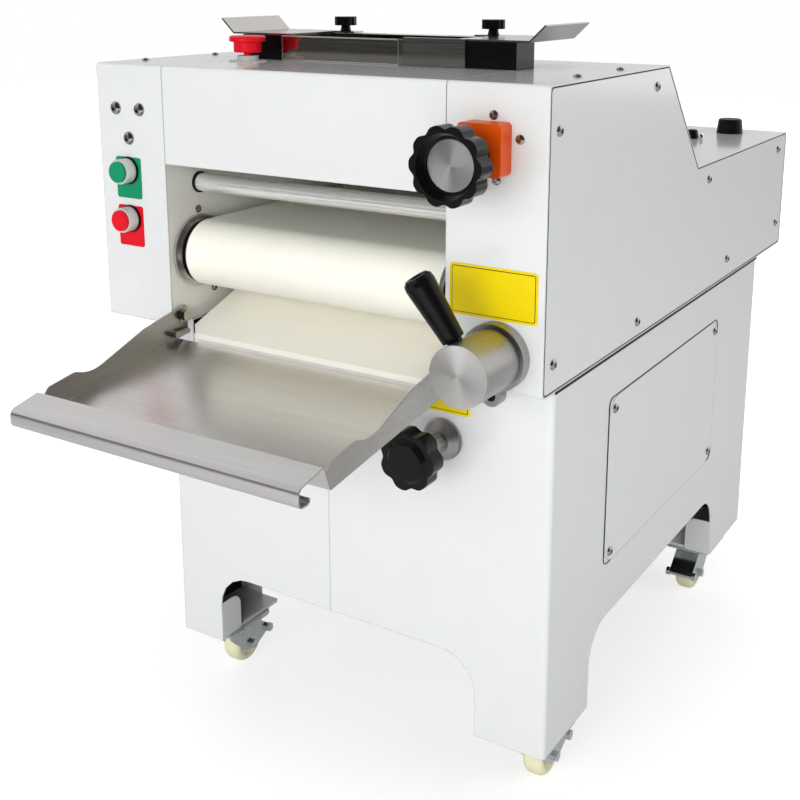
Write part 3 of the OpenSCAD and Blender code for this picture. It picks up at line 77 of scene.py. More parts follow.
def feed(tree, socket, colour):
    """Gives the socket a colour, or links it to another socket."""
    if isinstance(colour, tuple):
        socket.default_value = (*colour, 1.0)
    else:
        tree.links.new(colour, socket)


def two_colours(tree, factor, first, second):
    """A colour that goes from the first to the second with the factor. Each is a colour or a socket."""
    made = shader_node(tree, "ShaderNodeMix", data_type="RGBA")
    feed(tree, made.inputs[mix_first], first)
    feed(tree, made.inputs[mix_second], second)
    tree.links.new(factor, made.inputs[mix_factor])
    return made.outputs[mix_result]


def two_shaders(tree, factor, first, second):
    """A shader that goes from the first to the second with the factor."""
    made = shader_node(tree, "ShaderNodeMixShader")
    tree.links.new(factor, made.inputs["Fac"])
    tree.links.new(first, made.inputs[1])
    tree.links.new(second, made.inputs[2])
    return made.outputs["Shader"]


def calculate(tree, operation, first, second):
    """The sum or product of two numbers."""
    made = shader_node(tree, "ShaderNodeMath", operation=operation)
    tree.links.new(first, made.inputs[0])
    tree.links.new(second, made.inputs[1])
    return made.outputs["Value"]


def ramp(tree, value, low, high, start=0.0, end=1.0, curve="SMOOTHSTEP"):
    """A number that goes from start to end while the value goes from low to high."""
    made = shader_node(tree, "ShaderNodeMapRange", interpolation_type=curve)
    made.inputs["From Min"].default_value = low
    made.inputs["From Max"].default_value = high
    made.inputs["To Min"].default_value = start
    made.inputs["To Max"].default_value = end
    tree.links.new(value, made.inputs["Value"])
    return made.outputs["Result"]


def noise(tree, source, grain, detail):
    """Noise with its own grain along X, Y and Z, in waves per metre."""
    spread = shader_node(tree, "ShaderNodeMapping")
    spread.inputs["Scale"].default_value = grain
    tree.links.new(source, spread.inputs["Vector"])
    made = shader_node(tree, "ShaderNodeTexNoise")
    made.inputs["Scale"].default_value = 1.0
    made.inputs["Detail"].default_value = detail
    tree.links.new(spread.outputs["Vector"], made.inputs["Vector"])
    return made.outputs["Fac"]


# Most of the noise lies between these two values
noise_low = 0.3
noise_high = 0.7


def with_noise(tree, factor, start, end):
    """A number that goes from start to end with the noise."""
    return ramp(tree, factor, noise_low, noise_high, start, end, curve="LINEAR")


def shade(colour, amount):
    """The colour made lighter or darker."""
    return tuple(min(1.0, part * amount) for part in colour)


smoothest = 0.02
coat_rough = 0.08
bump_height = 0.5 * mm


def surface(name, colour, rough, metal=0.0, coat=0.0, drift=0.03, rough_drift=0.05, slow_grain=(25, 25, 25),
            bump=0.03, fine_grain=(1200, 1200, 1200), edge=0.0, height=None, gloss=0.5):
    """A material whose colour, roughness and height drift with noise, and whose edges look rounded."""
    made = bpy.data.materials.new(name)
    made.use_nodes = True
    tree = made.node_tree
    principled = tree.nodes["Principled BSDF"]
    principled.inputs["Metallic"].default_value = metal
    principled.inputs["Coat Weight"].default_value = coat
    principled.inputs["Coat Roughness"].default_value = coat_rough
    principled.inputs["Specular IOR Level"].default_value = gloss
    source = shader_node(tree, "ShaderNodeTexCoord").outputs["Object"]
    slow = noise(tree, source, slow_grain, detail=4)
    fine = noise(tree, source, fine_grain, detail=3)
    tint = with_noise(tree, slow, 0.0, 1.0)
    paint = two_colours(tree, tint, shade(colour, 1 - drift), shade(colour, 1 + drift))
    tree.links.new(paint, principled.inputs["Base Color"])
    rough_map = with_noise(tree, fine, max(smoothest, rough - rough_drift), rough + rough_drift)
    tree.links.new(rough_map, principled.inputs["Roughness"])
    lift = shader_node(tree, "ShaderNodeBump")
    lift.inputs["Strength"].default_value = bump
    lift.inputs["Distance"].default_value = bump_height
    tree.links.new(height(tree, source) if height else fine, lift.inputs["Height"])
    if edge:
        soften = shader_node(tree, "ShaderNodeBevel", samples=6)
        soften.inputs["Radius"].default_value = edge
        tree.links.new(soften.outputs["Normal"], lift.inputs["Normal"])
    tree.links.new(lift.outputs["Normal"], principled.inputs["Normal"])
    return made


def weave(tree, source):
    """Height of a fine cloth weave."""
    threads = []
    for axis in ("X", "DIAGONAL"):
        wave = shader_node(tree, "ShaderNodeTexWave", bands_direction=axis)
        wave.inputs["Scale"].default_value = 260.0
        wave.inputs["Distortion"].default_value = 0.4
        tree.links.new(source, wave.inputs["Vector"])
        threads.append(wave.outputs["Fac"])
    return calculate(tree, "ADD", *threads)


def turned_rings(centre):
    """Height of the fine rings that turning leaves round an axis along Y through the centre."""
    def rings(tree, source):
        flat = shader_node(tree, "ShaderNodeVectorMath", operation="MULTIPLY_ADD")
        flat.inputs[1].default_value = (1.0, 0.0, 1.0)
        flat.inputs[2].default_value = (-centre.x, 0.0, -centre.z)
        tree.links.new(source, flat.inputs[0])
        reach = shader_node(tree, "ShaderNodeVectorMath", operation="LENGTH")
        tree.links.new(flat.outputs["Vector"], reach.inputs[0])
        made = shader_node(tree, "ShaderNodeTexNoise", noise_dimensions="1D")
        made.inputs["Scale"].default_value = 2600.0
        tree.links.new(reach.outputs["Value"], made.inputs["W"])
        return made.outputs["Fac"]
    return rings


def turned_metal(name, colour, rough, node):
    """Bare metal turned on a lathe, round the axis of this node along Y."""
    low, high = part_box(node)
    made = surface(name, colour, rough, metal=1.0, drift=0.02, rough_drift=0.03, bump=0.025,
                   height=turned_rings((low + high) / 2), edge=0.6 * mm)
    tree = made.node_tree
    principled = tree.nodes["Principled BSDF"]
    principled.inputs["Anisotropic"].default_value = 0.9
    run = shader_node(tree, "ShaderNodeTangent", direction_type="RADIAL", axis="Y")
    tree.links.new(run.outputs["Tangent"], principled.inputs["Tangent"])
    return made


# Materials: grains are in waves per metre
along_x = (12, 1500, 1500)
paint_grain = (420, 420, 420)

# Paint
white_paint = surface("white_paint", (0.735, 0.755, 0.75), rough=0.2, coat=0.5, drift=0.008,
                      bump=0.01, fine_grain=paint_grain, edge=2.2 * mm)
# Lighter, warmer copy of the white paint: painted light that stands in for the light and the belt's
# reflection on the inner walls
painted_light_white = surface("painted_light_white", (0.9, 0.89, 0.84), rough=0.3, coat=0.2, drift=0.01,
                      bump=0.01, fine_grain=paint_grain, edge=1.0 * mm)
# Near-black paint on the faces inside the base: painted shade that stands in for the dark inside it
painted_shade_inside = surface("painted_shade_inside", (0.01, 0.01, 0.01), rough=0.7, drift=0.2, bump=0.05, gloss=0.15)
black_paint = surface("black_paint", (0.01, 0.01, 0.01), rough=0.5, drift=0.2, bump=0.05,
                      edge=1.0 * mm, gloss=0.25)
motor_paint = surface("motor_paint", (0.12, 0.13, 0.14), rough=0.4, coat=0.1, drift=0.1, bump=0.08,
                      edge=1.0 * mm)
yellow_paint = surface("yellow_paint", (0.82, 0.63, 0.0), rough=0.4, drift=0.02, bump=0.01, gloss=0.3)
black_print = surface("black_print", (0.012, 0.012, 0.012), rough=0.35, drift=0.15, bump=0.02)

# Metal
zinc = surface("zinc", (0.74, 0.77, 0.79), rough=0.22, metal=1.0, drift=0.1,
               slow_grain=(160, 160, 160), bump=0.03, edge=0.7 * mm)
fastener = surface("fastener", (0.42, 0.41, 0.39), rough=0.14, metal=1.0, drift=0.1,
                   slow_grain=(300, 300, 300), bump=0.02)
brushed = surface("brushed_steel", (0.71, 0.69, 0.685), rough=0.3, metal=1.0, drift=0.04, rough_drift=0.02,
                  slow_grain=(6, 200, 200), bump=0.004, fine_grain=along_x, edge=0.8 * mm)
# Darker copy of the tray's steel for its side walls: painted shade
painted_shade_steel = surface("painted_shade_steel", (0.4, 0.385, 0.37), rough=0.3, metal=1.0, drift=0.05, rough_drift=0.03,
                     slow_grain=(200, 12, 200), bump=0.004, fine_grain=(900, 60, 900), edge=0.8 * mm)
polished = surface("polished_steel", (0.5, 0.475, 0.44), rough=0.09, metal=1.0, drift=0.02,
                   slow_grain=along_x, bump=0.003, fine_grain=along_x, edge=0.5 * mm)
bright_bar = surface("bright_bar", (0.85, 0.84, 0.82), rough=0.24, metal=0.6, drift=0.03,
                     slow_grain=along_x, bump=0.006, fine_grain=along_x)
guide_steel = surface("guide_steel", (0.46, 0.445, 0.42), rough=0.16, metal=1.0, drift=0.02,
                      slow_grain=along_x, bump=0.004, fine_grain=along_x)
machined = surface("machined_steel", (0.5, 0.5, 0.51), rough=0.32, metal=1.0, drift=0.08, bump=0.05)
# Light metal for the thin rim on the hopper's front, a painted highlight
highlight_metal = surface("highlight_metal", (0.78, 0.79, 0.8), rough=0.2, metal=1.0, drift=0.04, bump=0.02,
                      edge=0.6 * mm)
bezel_metal = surface("bezel_metal", (0.72, 0.72, 0.71), rough=0.5, metal=0.35, drift=0.03, bump=0.02,
                      edge=0.5 * mm)
barrel_side = surface("barrel_side", (0.42, 0.41, 0.4), rough=0.42, metal=1.0, drift=0.08,
                      slow_grain=(90, 700, 90), bump=0.01, fine_grain=(300, 2600, 300))
chrome = surface("chrome", (0.8, 0.8, 0.8), rough=0.08, metal=1.0, drift=0.03, bump=0.005)
barrel_metal = turned_metal("barrel_metal", (0.72, 0.715, 0.705), 0.32, "cam_lever")
disc_metal = turned_metal("disc_metal", (0.62, 0.61, 0.595), 0.3, "handwheel_spindle")

# Plastic, rubber and cloth
nylon = surface("nylon", (0.8, 0.77, 0.53), rough=0.38, drift=0.05, bump=0.03, edge=0.6 * mm)
roll_plastic = surface("roll_plastic", (0.85, 0.85, 0.82), rough=0.35, drift=0.02, bump=0.03)
belt_cloth = surface("belt_cloth", (0.975, 0.965, 0.86), rough=0.55, drift=0.012, rough_drift=0.05,
                     bump=0.06, height=weave, edge=0.8 * mm)
board_plastic = surface("board_plastic", (0.96, 0.935, 0.85), rough=0.5, drift=0.015, bump=0.03,
                        edge=1.2 * mm)
black_plastic = surface("black_plastic", (0.0035, 0.0035, 0.004), rough=0.19, drift=0.2, bump=0.01,
                        edge=1.2 * mm, gloss=0.22)
black_rubber = surface("black_rubber", (0.005, 0.005, 0.005), rough=0.4, drift=0.2, bump=0.06,
                       edge=0.8 * mm, gloss=0.2)
orange_plastic = surface("orange_plastic", (0.76, 0.085, 0.001), rough=0.35, drift=0.04, bump=0.02,
                         edge=1.0 * mm, gloss=0.3)
green_plastic = surface("green_plastic", (0.003, 0.27, 0.12), rough=0.35, drift=0.04, bump=0.015,
                        edge=0.6 * mm, gloss=0.3)
red_plastic = surface("red_plastic", (0.72, 0.002, 0.014), rough=0.3, drift=0.04, bump=0.015,
                      edge=0.8 * mm, gloss=0.3)

# Materials of the nodes, by the record's slots unless a node has a look of its own
slot_looks = {
    "white_paint": white_paint, "black_paint": black_paint, "zinc": zinc, "nylon": nylon,
    "fastener": fastener, "stainless": brushed, "polished_stainless": polished,
    "machined_steel": machined, "roll_plastic": roll_plastic, "belt": belt_cloth, "board": board_plastic,
    "black_plastic": black_plastic, "black_rubber": black_rubber, "orange_plastic": orange_plastic,
    "green_plastic": green_plastic, "red_plastic": red_plastic, "bezel_metal": bezel_metal,
    "motor_paint": motor_paint,
}
node_looks = {
    "cross_bars": bright_bar, "cam_lever": barrel_metal, "handwheel_spindle": disc_metal,
    "hopper_guide_left": guide_steel, "hopper_guide_right": guide_steel,
    "cam_flange": barrel_side, "knob_flange": barrel_side,
    # The inner side plates take the lighter white, painted light
    "side_plate_left": painted_light_white, "side_plate_right": painted_light_white,
}
for part in frame["record"]["subparts"]:
    look = node_looks.get(part["node"], slot_looks[part["material_slot"]])
    nodes[part["node"]].data.materials[0] = look


def second_colour(node, look, belongs):
    """Gives the faces of this node that belong a second material."""
    mesh = nodes[node].data
    mesh.materials.append(look)
    for face in mesh.polygons:
        if belongs(face):
            face.material_index = 1


plates_low, plates_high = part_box("button_plates")
plates_middle = (plates_low.z + plates_high.z) / 2
base_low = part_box("base_shell_left")[0]
base_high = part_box("base_shell_right")[1]
skin_reach = 4 * mm

# Parts of a face's normal that tell the skin, the barrel's ends and the tray's walls from other faces
skin_normal = 0.9
barrel_end_normal = 0.5
tray_wall_normal = 0.6


def looks_inwards(face):
    """Whether this face of the base's skin looks into the base."""
    for axis in (0, 1):
        for skin, inwards in ((base_low[axis], 1), (base_high[axis], -1)):
            if abs(face.center[axis] - skin) < skin_reach and face.normal[axis] * inwards > skin_normal:
                return True
    return False


second_colour("button_plates", red_plastic, lambda face: face.center.z < plates_middle)
# The faces inside the base get the near-black paint, painted shade for the dark inside the base
for half in ("base_shell_left", "base_shell_right"):
    second_colour(half, painted_shade_inside, looks_inwards)
second_colour("cam_lever", barrel_side, lambda face: abs(face.normal.y) < barrel_end_normal)
# The tray's side walls get the darker steel, painted shade on the walls
second_colour("tray", painted_shade_steel, lambda face: abs(face.normal.x) > tray_wall_normal)

# Shapes


def piece(name, points, faces, look, body, smooth=False):
    """A mesh piece with its material, on the body that carries it."""
    mesh = bpy.data.meshes.new(name)
    mesh.from_pydata(points, [], faces)
    mesh.materials.append(look)
    mesh.polygons.foreach_set("use_smooth", [smooth] * len(faces))
    made = bpy.data.objects.new(name, mesh)
    bpy.context.scene.collection.objects.link(made)
    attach(made, body)
    return made


def bands(rows, count, closed=False):
    """The faces between rows of points with this count in each row. A closed piece joins its ends too."""
    faces = []
    for row in range(rows if closed else rows - 1):
        after = (row + 1) % rows
        for i in range(count):
            j = (i + 1) % count
            faces.append((row * count + i, row * count + j, after * count + j, after * count + i))
    return faces


def rounded_loop(left, right, bottom, top, radius):
    """The points of a rectangle with rounded corners."""
    steps = 6
    loop = []
    corners = ((right - radius, top - radius, 0), (left + radius, top - radius, 90),
               (left + radius, bottom + radius, 180), (right - radius, bottom + radius, 270))
    for across, up, start in corners:
        for i in range(steps + 1):
            turn = math.radians(start + 90 * i / steps)
            loop.append((across + radius * math.cos(turn), up + radius * math.sin(turn)))
    return loop


# Places across and up the domed section of an edge ring, as shares of its width and height
ring_section = ((0.0, 0.0), (0.0, 0.7), (0.3, 1.0), (0.7, 1.0), (1.0, 0.7), (1.0, 0.0))


def edge_ring(name, left, right, bottom, top, radius, width, height, place, look, body):
    """A ring with a domed top round a rounded rectangle. place makes a point of two places and a height."""
    points = []
    for outwards, up in ring_section:
        grow = outwards * width
        loop = rounded_loop(left - grow, right + grow, bottom - grow, top + grow, radius + grow)
        points += [place(across, along, up * height) for across, along in loop]
    rows = len(ring_section)
    return piece(name, points, bands(rows, len(points) // rows, closed=True), look, body)


def front_plate(name, left, right, bottom, top, y, depth, radius, look, body):
    """A plate with rounded corners and a chamfered edge, whose front is at y."""
    outline = rounded_loop(left, right, bottom, top, radius)
    count = len(outline)
    chamfer = depth / 3
    middle = Vector(((left + right) / 2, (bottom + top) / 2))
    points = []
    for back, inwards in ((depth, 0.0), (chamfer, 0.0), (0.0, chamfer)):
        for corner in outline:
            run = Vector(corner) - middle
            shrink = 1 - inwards / run.length
            points.append((middle.x + run.x * shrink, y + back, middle.y + run.y * shrink))
    faces = [tuple(range(2 * count, 3 * count)), tuple(reversed(range(count)))]
    return piece(name, points, faces + bands(3, count), look, body)


sharp_angle = math.radians(35)


def turned(name, profile, centre, axis, look, body, steps=48, closed=False):
    """A turned piece from rows of radius and height along the axis. A third entry makes a row a hexagon."""
    turn = Vector((0, 0, 1)).rotation_difference(Vector(axis)).to_matrix()
    points = []
    for radius, height, *hexagon in profile:
        for i in range(steps):
            angle = 2 * math.pi * i / steps
            reach = radius
            if hexagon:
                reach = radius / math.cos((angle + math.pi / 6) % (math.pi / 3) - math.pi / 6)
            spot = Vector((reach * math.cos(angle), reach * math.sin(angle), height))
            points.append(centre + turn @ spot)
    rows = len(profile)
    faces = []
    if not closed:
        faces = [tuple(reversed(range(steps))), tuple(range((rows - 1) * steps, rows * steps))]
    made = piece(name, points, faces + bands(rows, steps, closed), look, body, smooth=True)
    made.data.set_sharp_from_angle(angle=sharp_angle)
    return made


def socket_screw(name, head_d, head_h, centre, axis, look, body):
    """A cap screw with a hexagon socket, its head standing on the centre."""
    radius = head_d / 2
    edge = 0.12 * radius
    socket = 0.5 * radius
    socket_floor = 0.45 * head_h
    rows = [(radius, 0.0), (radius, head_h - edge), (radius - edge, head_h), (socket, head_h, "hex"),
            (socket, socket_floor, "hex")]
    return turned(name, rows, centre, axis, look, body)


# Bare yellow plates with a thin black line inside their edge, on the right box and on the base
plate_t = 0.5 * mm
plate_layer = 0.3 * plate_t
line_in = 2.6 * mm
line_w = 0.8 * mm
least_corner_r = 1 * mm


def bare_plate(name, left, right, bottom, top, y, radius):
    """A yellow plate whose back is at y, with a black line round it."""
    layers = (("", 0.0, yellow_paint), ("_line", line_in, black_print),
              ("_field", line_in + line_w, yellow_paint))
    for step, (ending, inwards, look) in enumerate(layers):
        front_plate(name + ending, left + inwards, right - inwards, bottom + inwards, top - inwards,
                    y - plate_t - plate_layer * step, plate_t, max(radius - inwards, least_corner_r), look,
                    "frame")


box_low, box_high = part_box("right_box")
caution_left_in = 5.3 * mm
caution_right_in = 7.3 * mm
caution_h = 54 * mm
caution_top = box_high.z - 183 * mm
caution_corner_r = 5 * mm
bare_plate("caution_plate", box_low.x + caution_left_in, box_high.x - caution_right_in,
           caution_top - caution_h, caution_top, box_low.y, caution_corner_r)
small_w = 60 * mm
small_h = 31 * mm
small_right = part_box("knob_flange")[1].x + 9 * mm
small_bottom = base_high.z - 50 * mm
small_top = small_bottom + small_h
small_corner_r = 3 * mm
bare_plate("small_plate", small_right - small_w, small_right, small_bottom, small_top, base_low.y,
           small_corner_r)

# White strip that closes the opening in the base's front below the pressure board
base_sheet = 2 * mm
strip_side = 10 * mm
strip_t = 1.5 * mm
strip_corner_r = 2 * mm
# The strip takes the lighter copy of the white paint, which paints light into the shade under the board
front_plate("front_strip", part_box("left_box")[1].x - strip_side, box_low.x + strip_side, small_bottom,
            small_top, base_low.y + base_sheet, strip_t, strip_corner_r, painted_light_white, "frame")

# Screw in the clamping lug of the cam lever's flange
to_front = (0, -1, 0)
flange_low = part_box("cam_flange")[0]
barrel_low, barrel_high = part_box("cam_lever")
cam_axis = (barrel_low + barrel_high) / 2
clamp_lug_d = 22 * mm
clamp_sink = 5 * mm
clamp_screw_d = 10 * mm
clamp_screw_h = 6 * mm
clamp_seat = Vector((cam_axis.x, flange_low.y + clamp_sink, flange_low.z + clamp_lug_d / 2))
socket_screw("clamp_screw", clamp_screw_d, clamp_screw_h, clamp_seat, to_front, black_plastic, "frame")

# Screw in the end of the lever's grip
lever_lean = math.radians(29)
lever_tilt = math.radians(12)
lever_out = 54 * mm
grip_reach = 107 * mm
grip_sink = 7 * mm
grip_screw_d = 12.4 * mm
grip_screw_h = 5.5 * mm
grip_run = Vector((-math.sin(lever_lean) * math.cos(lever_tilt), -math.sin(lever_tilt),
                   math.cos(lever_lean) * math.cos(lever_tilt)))
grip_foot = Vector((cam_axis.x, box_low.y - lever_out, cam_axis.z))
grip_seat = grip_foot + grip_run * (grip_reach - grip_sink)
socket_screw("grip_screw", grip_screw_d, grip_screw_h, grip_seat, grip_run, chrome, "cam_lever")

# Dark strips in the seams round the side covers: painted shade that stands in for the shadow in the gaps
cover_gap = 0.8 * mm
cover_shade_top = 0.12 * mm
cover_shade_bottom = 0.02 * mm
cover_shade_lap = 0.4
same_place = 0.05 * mm


def outline_edges(mesh, axis, outwards):
    """The edges round a cover's outer face, each with its way out, and the way that face looks. No holes."""
    way = Vector([outwards if i == axis else 0 for i in range(3)])
    reach = max(point.co.dot(way) for point in mesh.vertices)
    beside = {}
    for face in mesh.polygons:
        if abs(face.normal.dot(way)) < 0.2:
            for key in face.edge_keys:
                beside[key] = face.normal.copy()
    places = [tuple(round(part, 6) for part in point.co) for point in mesh.vertices]
    rim = {}
    for key, normal in beside.items():
        start, end = [mesh.vertices[i].co for i in key]
        at_face = all(reach - spot.dot(way) < same_place for spot in (start, end))
        if at_face and (start - end).length > same_place:
            rim[tuple(sorted(places[i] for i in key))] = (start.copy(), end.copy(), normal)
    groups = []
    for key in rim:
        joined = [group for group in groups if any(end in group for end in key)]
        groups = [group for group in groups if group not in joined]
        groups.append(set(key).union(*joined))

    def spread(group):
        return max((Vector(point) - Vector(next(iter(group)))).length for point in group)

    outer = max(groups, key=spread)
    return [edge for key, edge in rim.items() if key[0] in outer], way


# Faces of a box whose first four points are its top and whose last four are its bottom
box_faces = ((0, 1, 2, 3), (7, 6, 5, 4), (0, 4, 5, 1), (1, 5, 6, 2), (2, 6, 7, 3), (3, 7, 4, 0))


def seam_shade(name, node, axis, outwards):
    """A thin dark strip that lies over the seam round the outer face of a cover: painted shade for the
    shadow in the gap.
    """
    edges, way = outline_edges(nodes[node].data, axis, outwards)
    inner = -cover_shade_lap
    outer = 1 + cover_shade_lap
    points = []
    faces = []
    for start, end, out in edges:
        first = len(points)
        for up in (cover_shade_top, cover_shade_bottom):
            for spot, side in ((start, inner), (end, inner), (end, outer), (start, outer)):
                points.append(spot + out * side * cover_gap + way * up)
        for corners in box_faces:
            faces.append(tuple(first + i for i in corners))
    return piece(name, points, faces, black_rubber, "frame")


seam_shade("left_cover_shade", "left_side_cover", 0, -1)
seam_shade("right_cover_shade", "right_side_cover", 0, 1)

# Dark ring round the access panel: painted shade that stands in for the shadow in its seam
access_low, access_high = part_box("access_panel")
access_clear = 0.1 * mm
access_corner_r = 10 * mm
access_shade_w = 1.0 * mm
edge_ring("access_shade", access_low.y - access_clear, access_high.y + access_clear,
          access_low.z - access_clear, access_high.z + access_clear, access_corner_r, access_shade_w,
          access_shade_w, lambda y, z, up: (access_low.x + up, y, z), black_rubber, "frame")

# Dark strips on the base under the housing, at both sides and at the right of the front: painted shadow that
# stands in for the shadow under the housing's edge
housing_shade_z = base_high.z - 3.6 * mm
housing_shade_h = 3 * mm
housing_shade_stand = 1.8 * mm
corner_in = 3 * mm


def housing_shade(name, start, end, out):
    """A half-round dark strip on the base just under the housing, from start to end, standing outwards:
    painted shadow of the housing's edge.
    """
    steps = 8
    points = []
    for spot in (start, end):
        for i in range(steps + 1):
            turn = math.pi * i / steps
            stand = housing_shade_stand * math.sin(turn)
            points.append((spot[0] + out[0] * stand, spot[1] + out[1] * stand,
                           housing_shade_z - housing_shade_h * math.cos(turn)))
    count = steps + 1
    faces = [tuple(range(count)), tuple(reversed(range(count, 2 * count)))]
    faces += [(i, i + 1, count + i + 1, count + i) for i in range(steps)]
    faces.append((0, count, 2 * count - 1, steps))
    return piece(name, points, faces, black_rubber, "frame")


shade_front = base_low.y + corner_in
shade_back = base_high.y - corner_in
wall_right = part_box("side_plate_right")[1].x
housing_shade("housing_shade_left", (base_low.x, shade_front), (base_low.x, shade_back), (-1, 0))
housing_shade("housing_shade_right", (base_high.x, shade_front), (base_high.x, shade_back), (1, 0))
housing_shade("housing_shade_front", (wall_right, base_low.y), (base_high.x - corner_in, base_low.y), (0, -1))

# Thin bright rim round the left part of the hopper's front: a painted highlight that stands in for the light
# on the panel's edges
hopper_low, hopper_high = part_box("hopper")
housing_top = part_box("top_cover")[1].z
rim_w = 1.4 * mm
rim_h = 0.2 * mm
rim_corner_r = 1 * mm
rim_right_in = 90 * mm
edge_ring("hopper_highlight", hopper_low.x + rim_w, hopper_high.x - rim_right_in, housing_top + rim_w,
          hopper_high.z - rim_w, rim_corner_r, rim_w, rim_h, lambda x, z, up: (x, hopper_low.y - up, z),
          highlight_metal, "frame")

# Dark ring at the foot of the bezel of each push button
bezel_rim = 2.5 * mm
foot_gap = 0.1 * mm
foot_w = 1.8 * mm
foot_side_h = 1.6 * mm
foot_h = 2.6 * mm
for name in ("start_button", "stop_button"):
    cap_low, cap_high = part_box(name)
    cap_axis = (cap_low + cap_high) / 2
    bezel_r = (cap_high.x - cap_low.x) / 2 + bezel_rim
    foot_profile = [(bezel_r + foot_gap, 0.0), (bezel_r + foot_w, 0.0), (bezel_r + foot_w, foot_side_h),
                    (bezel_r + foot_w / 2, foot_h), (bezel_r + foot_gap, foot_h)]
    turned(name + "_foot", foot_profile, Vector((cap_axis.x, plates_low.y, cap_axis.z)), to_front,
           black_rubber, "frame", closed=True)

# Domed screw beside the small stop on the rear deck
stops_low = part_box("deck_stops")[0]
dome_r = 5 * mm
dome_across = 24 * mm
dome_back = 3 * mm
dome_profile = [(0.6 * dome_r, 0.0), (0.6 * dome_r, 0.5 * dome_r), (dome_r, 0.6 * dome_r),
                (dome_r, dome_r), (0.85 * dome_r, 1.4 * dome_r), (0.5 * dome_r, 1.7 * dome_r),
                (0.1 * dome_r, 1.8 * dome_r)]
dome_foot = Vector((stops_low.x + dome_across, stops_low.y + dome_back, stops_low.z))
turned("deck_dome", dome_profile, dome_foot, (0, 0, 1), chrome, "frame")

# Dark rings at the ends of the guard bar: painted shadow that stands in for the shadow where the bar meets
# the side plates
guard_r = 11 * mm
guard_y = box_low.y + 58 * mm
guard_z = box_high.z - 144 * mm
shade_ring_wall = 2 * mm
shade_ring_h = 3 * mm
shade_ring_edge = 1 * mm
shade_ring_profile = [(guard_r + shade_ring_wall, 0.0), (guard_r + shade_ring_wall, shade_ring_h - shade_ring_edge),
                  (guard_r + shade_ring_wall - shade_ring_edge, shade_ring_h), (guard_r - shade_ring_edge, shade_ring_h)]
for side, x, axis in (("left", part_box("side_plate_left")[1].x, (1, 0, 0)),
                      ("right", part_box("side_plate_right")[0].x, (-1, 0, 0))):
    turned("guard_shade_ring_" + side, shade_ring_profile, Vector((x, guard_y, guard_z)), axis, black_rubber,
           "frame")

# Light

light_h = 1.6
light_aim = Vector((0.0, 0.0, 0.45))


def area_light(name, width, power, place):
    """A soft rectangular light that faces the machine and leaves no mirror image in the paint."""
    lamp = bpy.data.lights.new(name, "AREA")
    lamp.shape = "RECTANGLE"
    lamp.size = width
    lamp.size_y = light_h
    lamp.energy = power
    made = bpy.data.objects.new(name, lamp)
    made.visible_glossy = False
    made.location = place
    made.rotation_euler = (light_aim - Vector(place)).to_track_quat("-Z", "Y").to_euler()
    bpy.context.scene.collection.objects.link(made)
    return made


area_light("front_light", width=2.6, power=68.0, place=(0.5, -3.1, 1.0))
area_light("right_light", width=2.0, power=22.0, place=(2.9, 0.4, 1.2))
area_light("top_light", width=1.6, power=7.0, place=(0.0, 0.3, 2.9))
area_light("back_light", width=2.6, power=30.0, place=(-2.6, 2.2, 0.9))

# Colours of the room that shows in reflections, and strengths of the world's light
white = (1.0, 1.0, 1.0)
room_dark = (0.06, 0.058, 0.056)
room_back_left = (0.75, 0.75, 0.75)
room_back_right = (1.25, 1.25, 1.25)
room_window = (0.8, 0.8, 0.8)
soft_light = 0.42
full_light = 1.0

# Stretches of the direction's X, Y and Z over which the room's colours change
back_wall_x = (-0.35, 0.15)
back_wall_y = (-0.1, 0.65)
window_x = (-0.3, -0.55)
window_z = (0.1, 0.4)


def background(tree, strength, colour):
    """A background of this strength. The colour is a colour or a socket."""
    made = shader_node(tree, "ShaderNodeBackground")
    made.inputs["Strength"].default_value = strength
    feed(tree, made.inputs["Color"], colour)
    return made.outputs["Background"]


def studio_world():
    """White behind the object, a soft grey light all round, and a darker room in reflections."""
    made = bpy.data.worlds.new("studio")
    made.use_nodes = True
    tree = made.node_tree
    tree.nodes.clear()
    rays = shader_node(tree, "ShaderNodeLightPath")
    source = shader_node(tree, "ShaderNodeTexCoord").outputs["Generated"]
    parts = shader_node(tree, "ShaderNodeSeparateXYZ")
    tree.links.new(source, parts.inputs["Vector"])
    x, y, z = parts.outputs
    back_wall = two_colours(tree, ramp(tree, x, *back_wall_x), room_back_left, room_back_right)
    room = two_colours(tree, ramp(tree, y, *back_wall_y), room_dark, back_wall)
    window = calculate(tree, "MULTIPLY", ramp(tree, x, *window_x), ramp(tree, z, *window_z))
    lit_room = two_colours(tree, window, room, room_window)
    mirror = two_shaders(tree, rays.outputs["Is Glossy Ray"], background(tree, soft_light, white),
                         background(tree, full_light, lit_room))
    seen = two_shaders(tree, rays.outputs["Is Camera Ray"], mirror, background(tree, full_light, white))
    end = shader_node(tree, "ShaderNodeOutputWorld")
    tree.links.new(seen, end.inputs["Surface"])
    return made


bpy.context.scene.world = studio_world()

# Floor
floor_half = 8.0
floor_drop = 0.5 * mm
floor_near = 0.35
floor_far = 1.15
floor_near_share = 0.5
floor_glow = 1.35
floor_lit = (0.8, 0.8, 0.8)
floor_seen = (0.98, 0.98, 0.98)


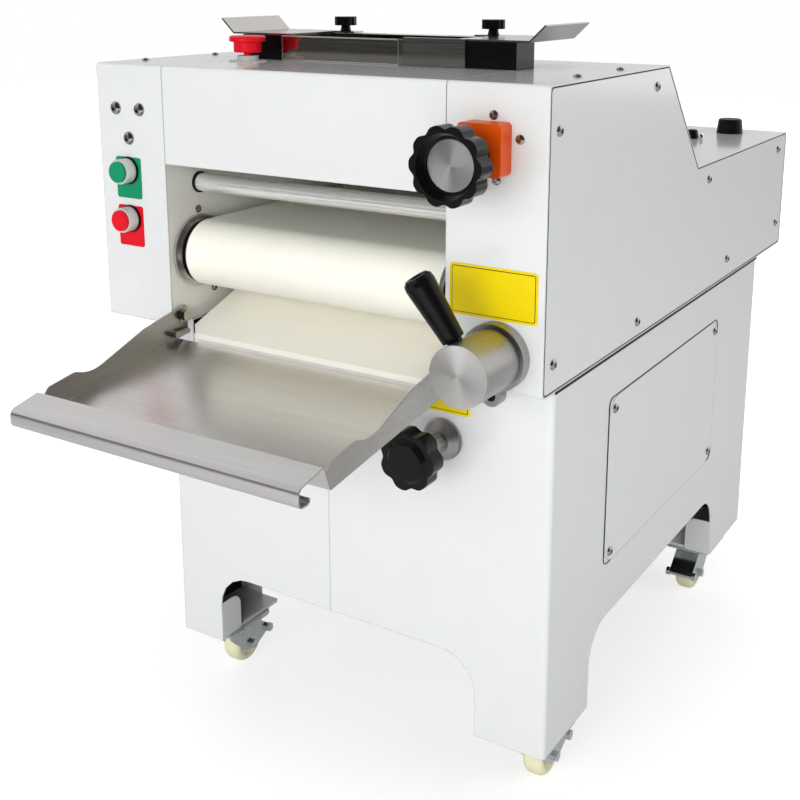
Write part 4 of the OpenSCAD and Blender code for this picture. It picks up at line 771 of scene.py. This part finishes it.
def floor_look():
    """A pale floor that keeps the object's shadow and turns to white further out."""
    made = bpy.data.materials.new("pale_floor")
    made.use_nodes = True
    tree = made.node_tree
    tree.nodes.clear()
    camera_ray = shader_node(tree, "ShaderNodeLightPath").outputs["Is Camera Ray"]
    source = shader_node(tree, "ShaderNodeTexCoord").outputs["Object"]
    reach = shader_node(tree, "ShaderNodeVectorMath", operation="LENGTH")
    tree.links.new(source, reach.inputs[0])
    fade = ramp(tree, reach.outputs["Value"], floor_near, floor_far, floor_near_share, 1.0)
    matt = shader_node(tree, "ShaderNodeBsdfDiffuse")
    tree.links.new(two_colours(tree, camera_ray, floor_lit, floor_seen), matt.inputs["Color"])
    glow = shader_node(tree, "ShaderNodeEmission")
    glow.inputs["Strength"].default_value = floor_glow
    feed(tree, glow.inputs["Color"], white)
    seen = calculate(tree, "MULTIPLY", fade, camera_ray)
    blend = two_shaders(tree, seen, matt.outputs["BSDF"], glow.outputs["Emission"])
    end = shader_node(tree, "ShaderNodeOutputMaterial")
    tree.links.new(blend, end.inputs["Surface"])
    return made


floor_mesh = bpy.data.meshes.new("floor")
floor_corners = [(-floor_half, -floor_half, 0), (floor_half, -floor_half, 0), (floor_half, floor_half, 0),
                 (-floor_half, floor_half, 0)]
floor_mesh.from_pydata(floor_corners, [], [(0, 1, 2, 3)])
floor_mesh.materials.append(floor_look())
floor = bpy.data.objects.new("floor", floor_mesh)
floor.location.z = -floor_drop
bpy.context.scene.collection.objects.link(floor)

# Camera at the photograph's viewing angle, in metres and radians, with a lens shift that fits its framing
camera_x = 0.7799
camera_out = 1.0192
camera_z = 0.9182
look_down = 0.2304
turn_left = 0.5599
lens = bpy.data.cameras.new("camera")
lens.sensor_width = 36.0
lens.lens = 53.29
lens.shift_x = -0.0094
lens.shift_y = -0.18
camera = bpy.data.objects.new("camera", lens)
camera.location = (camera_x, box_low.y - camera_out, camera_z)
camera.rotation_euler = (math.pi / 2 - look_down, 0.0, turn_left)
bpy.context.scene.collection.objects.link(camera)
bpy.context.scene.camera = camera
bpy.context.scene.view_settings.view_transform = "Standard"
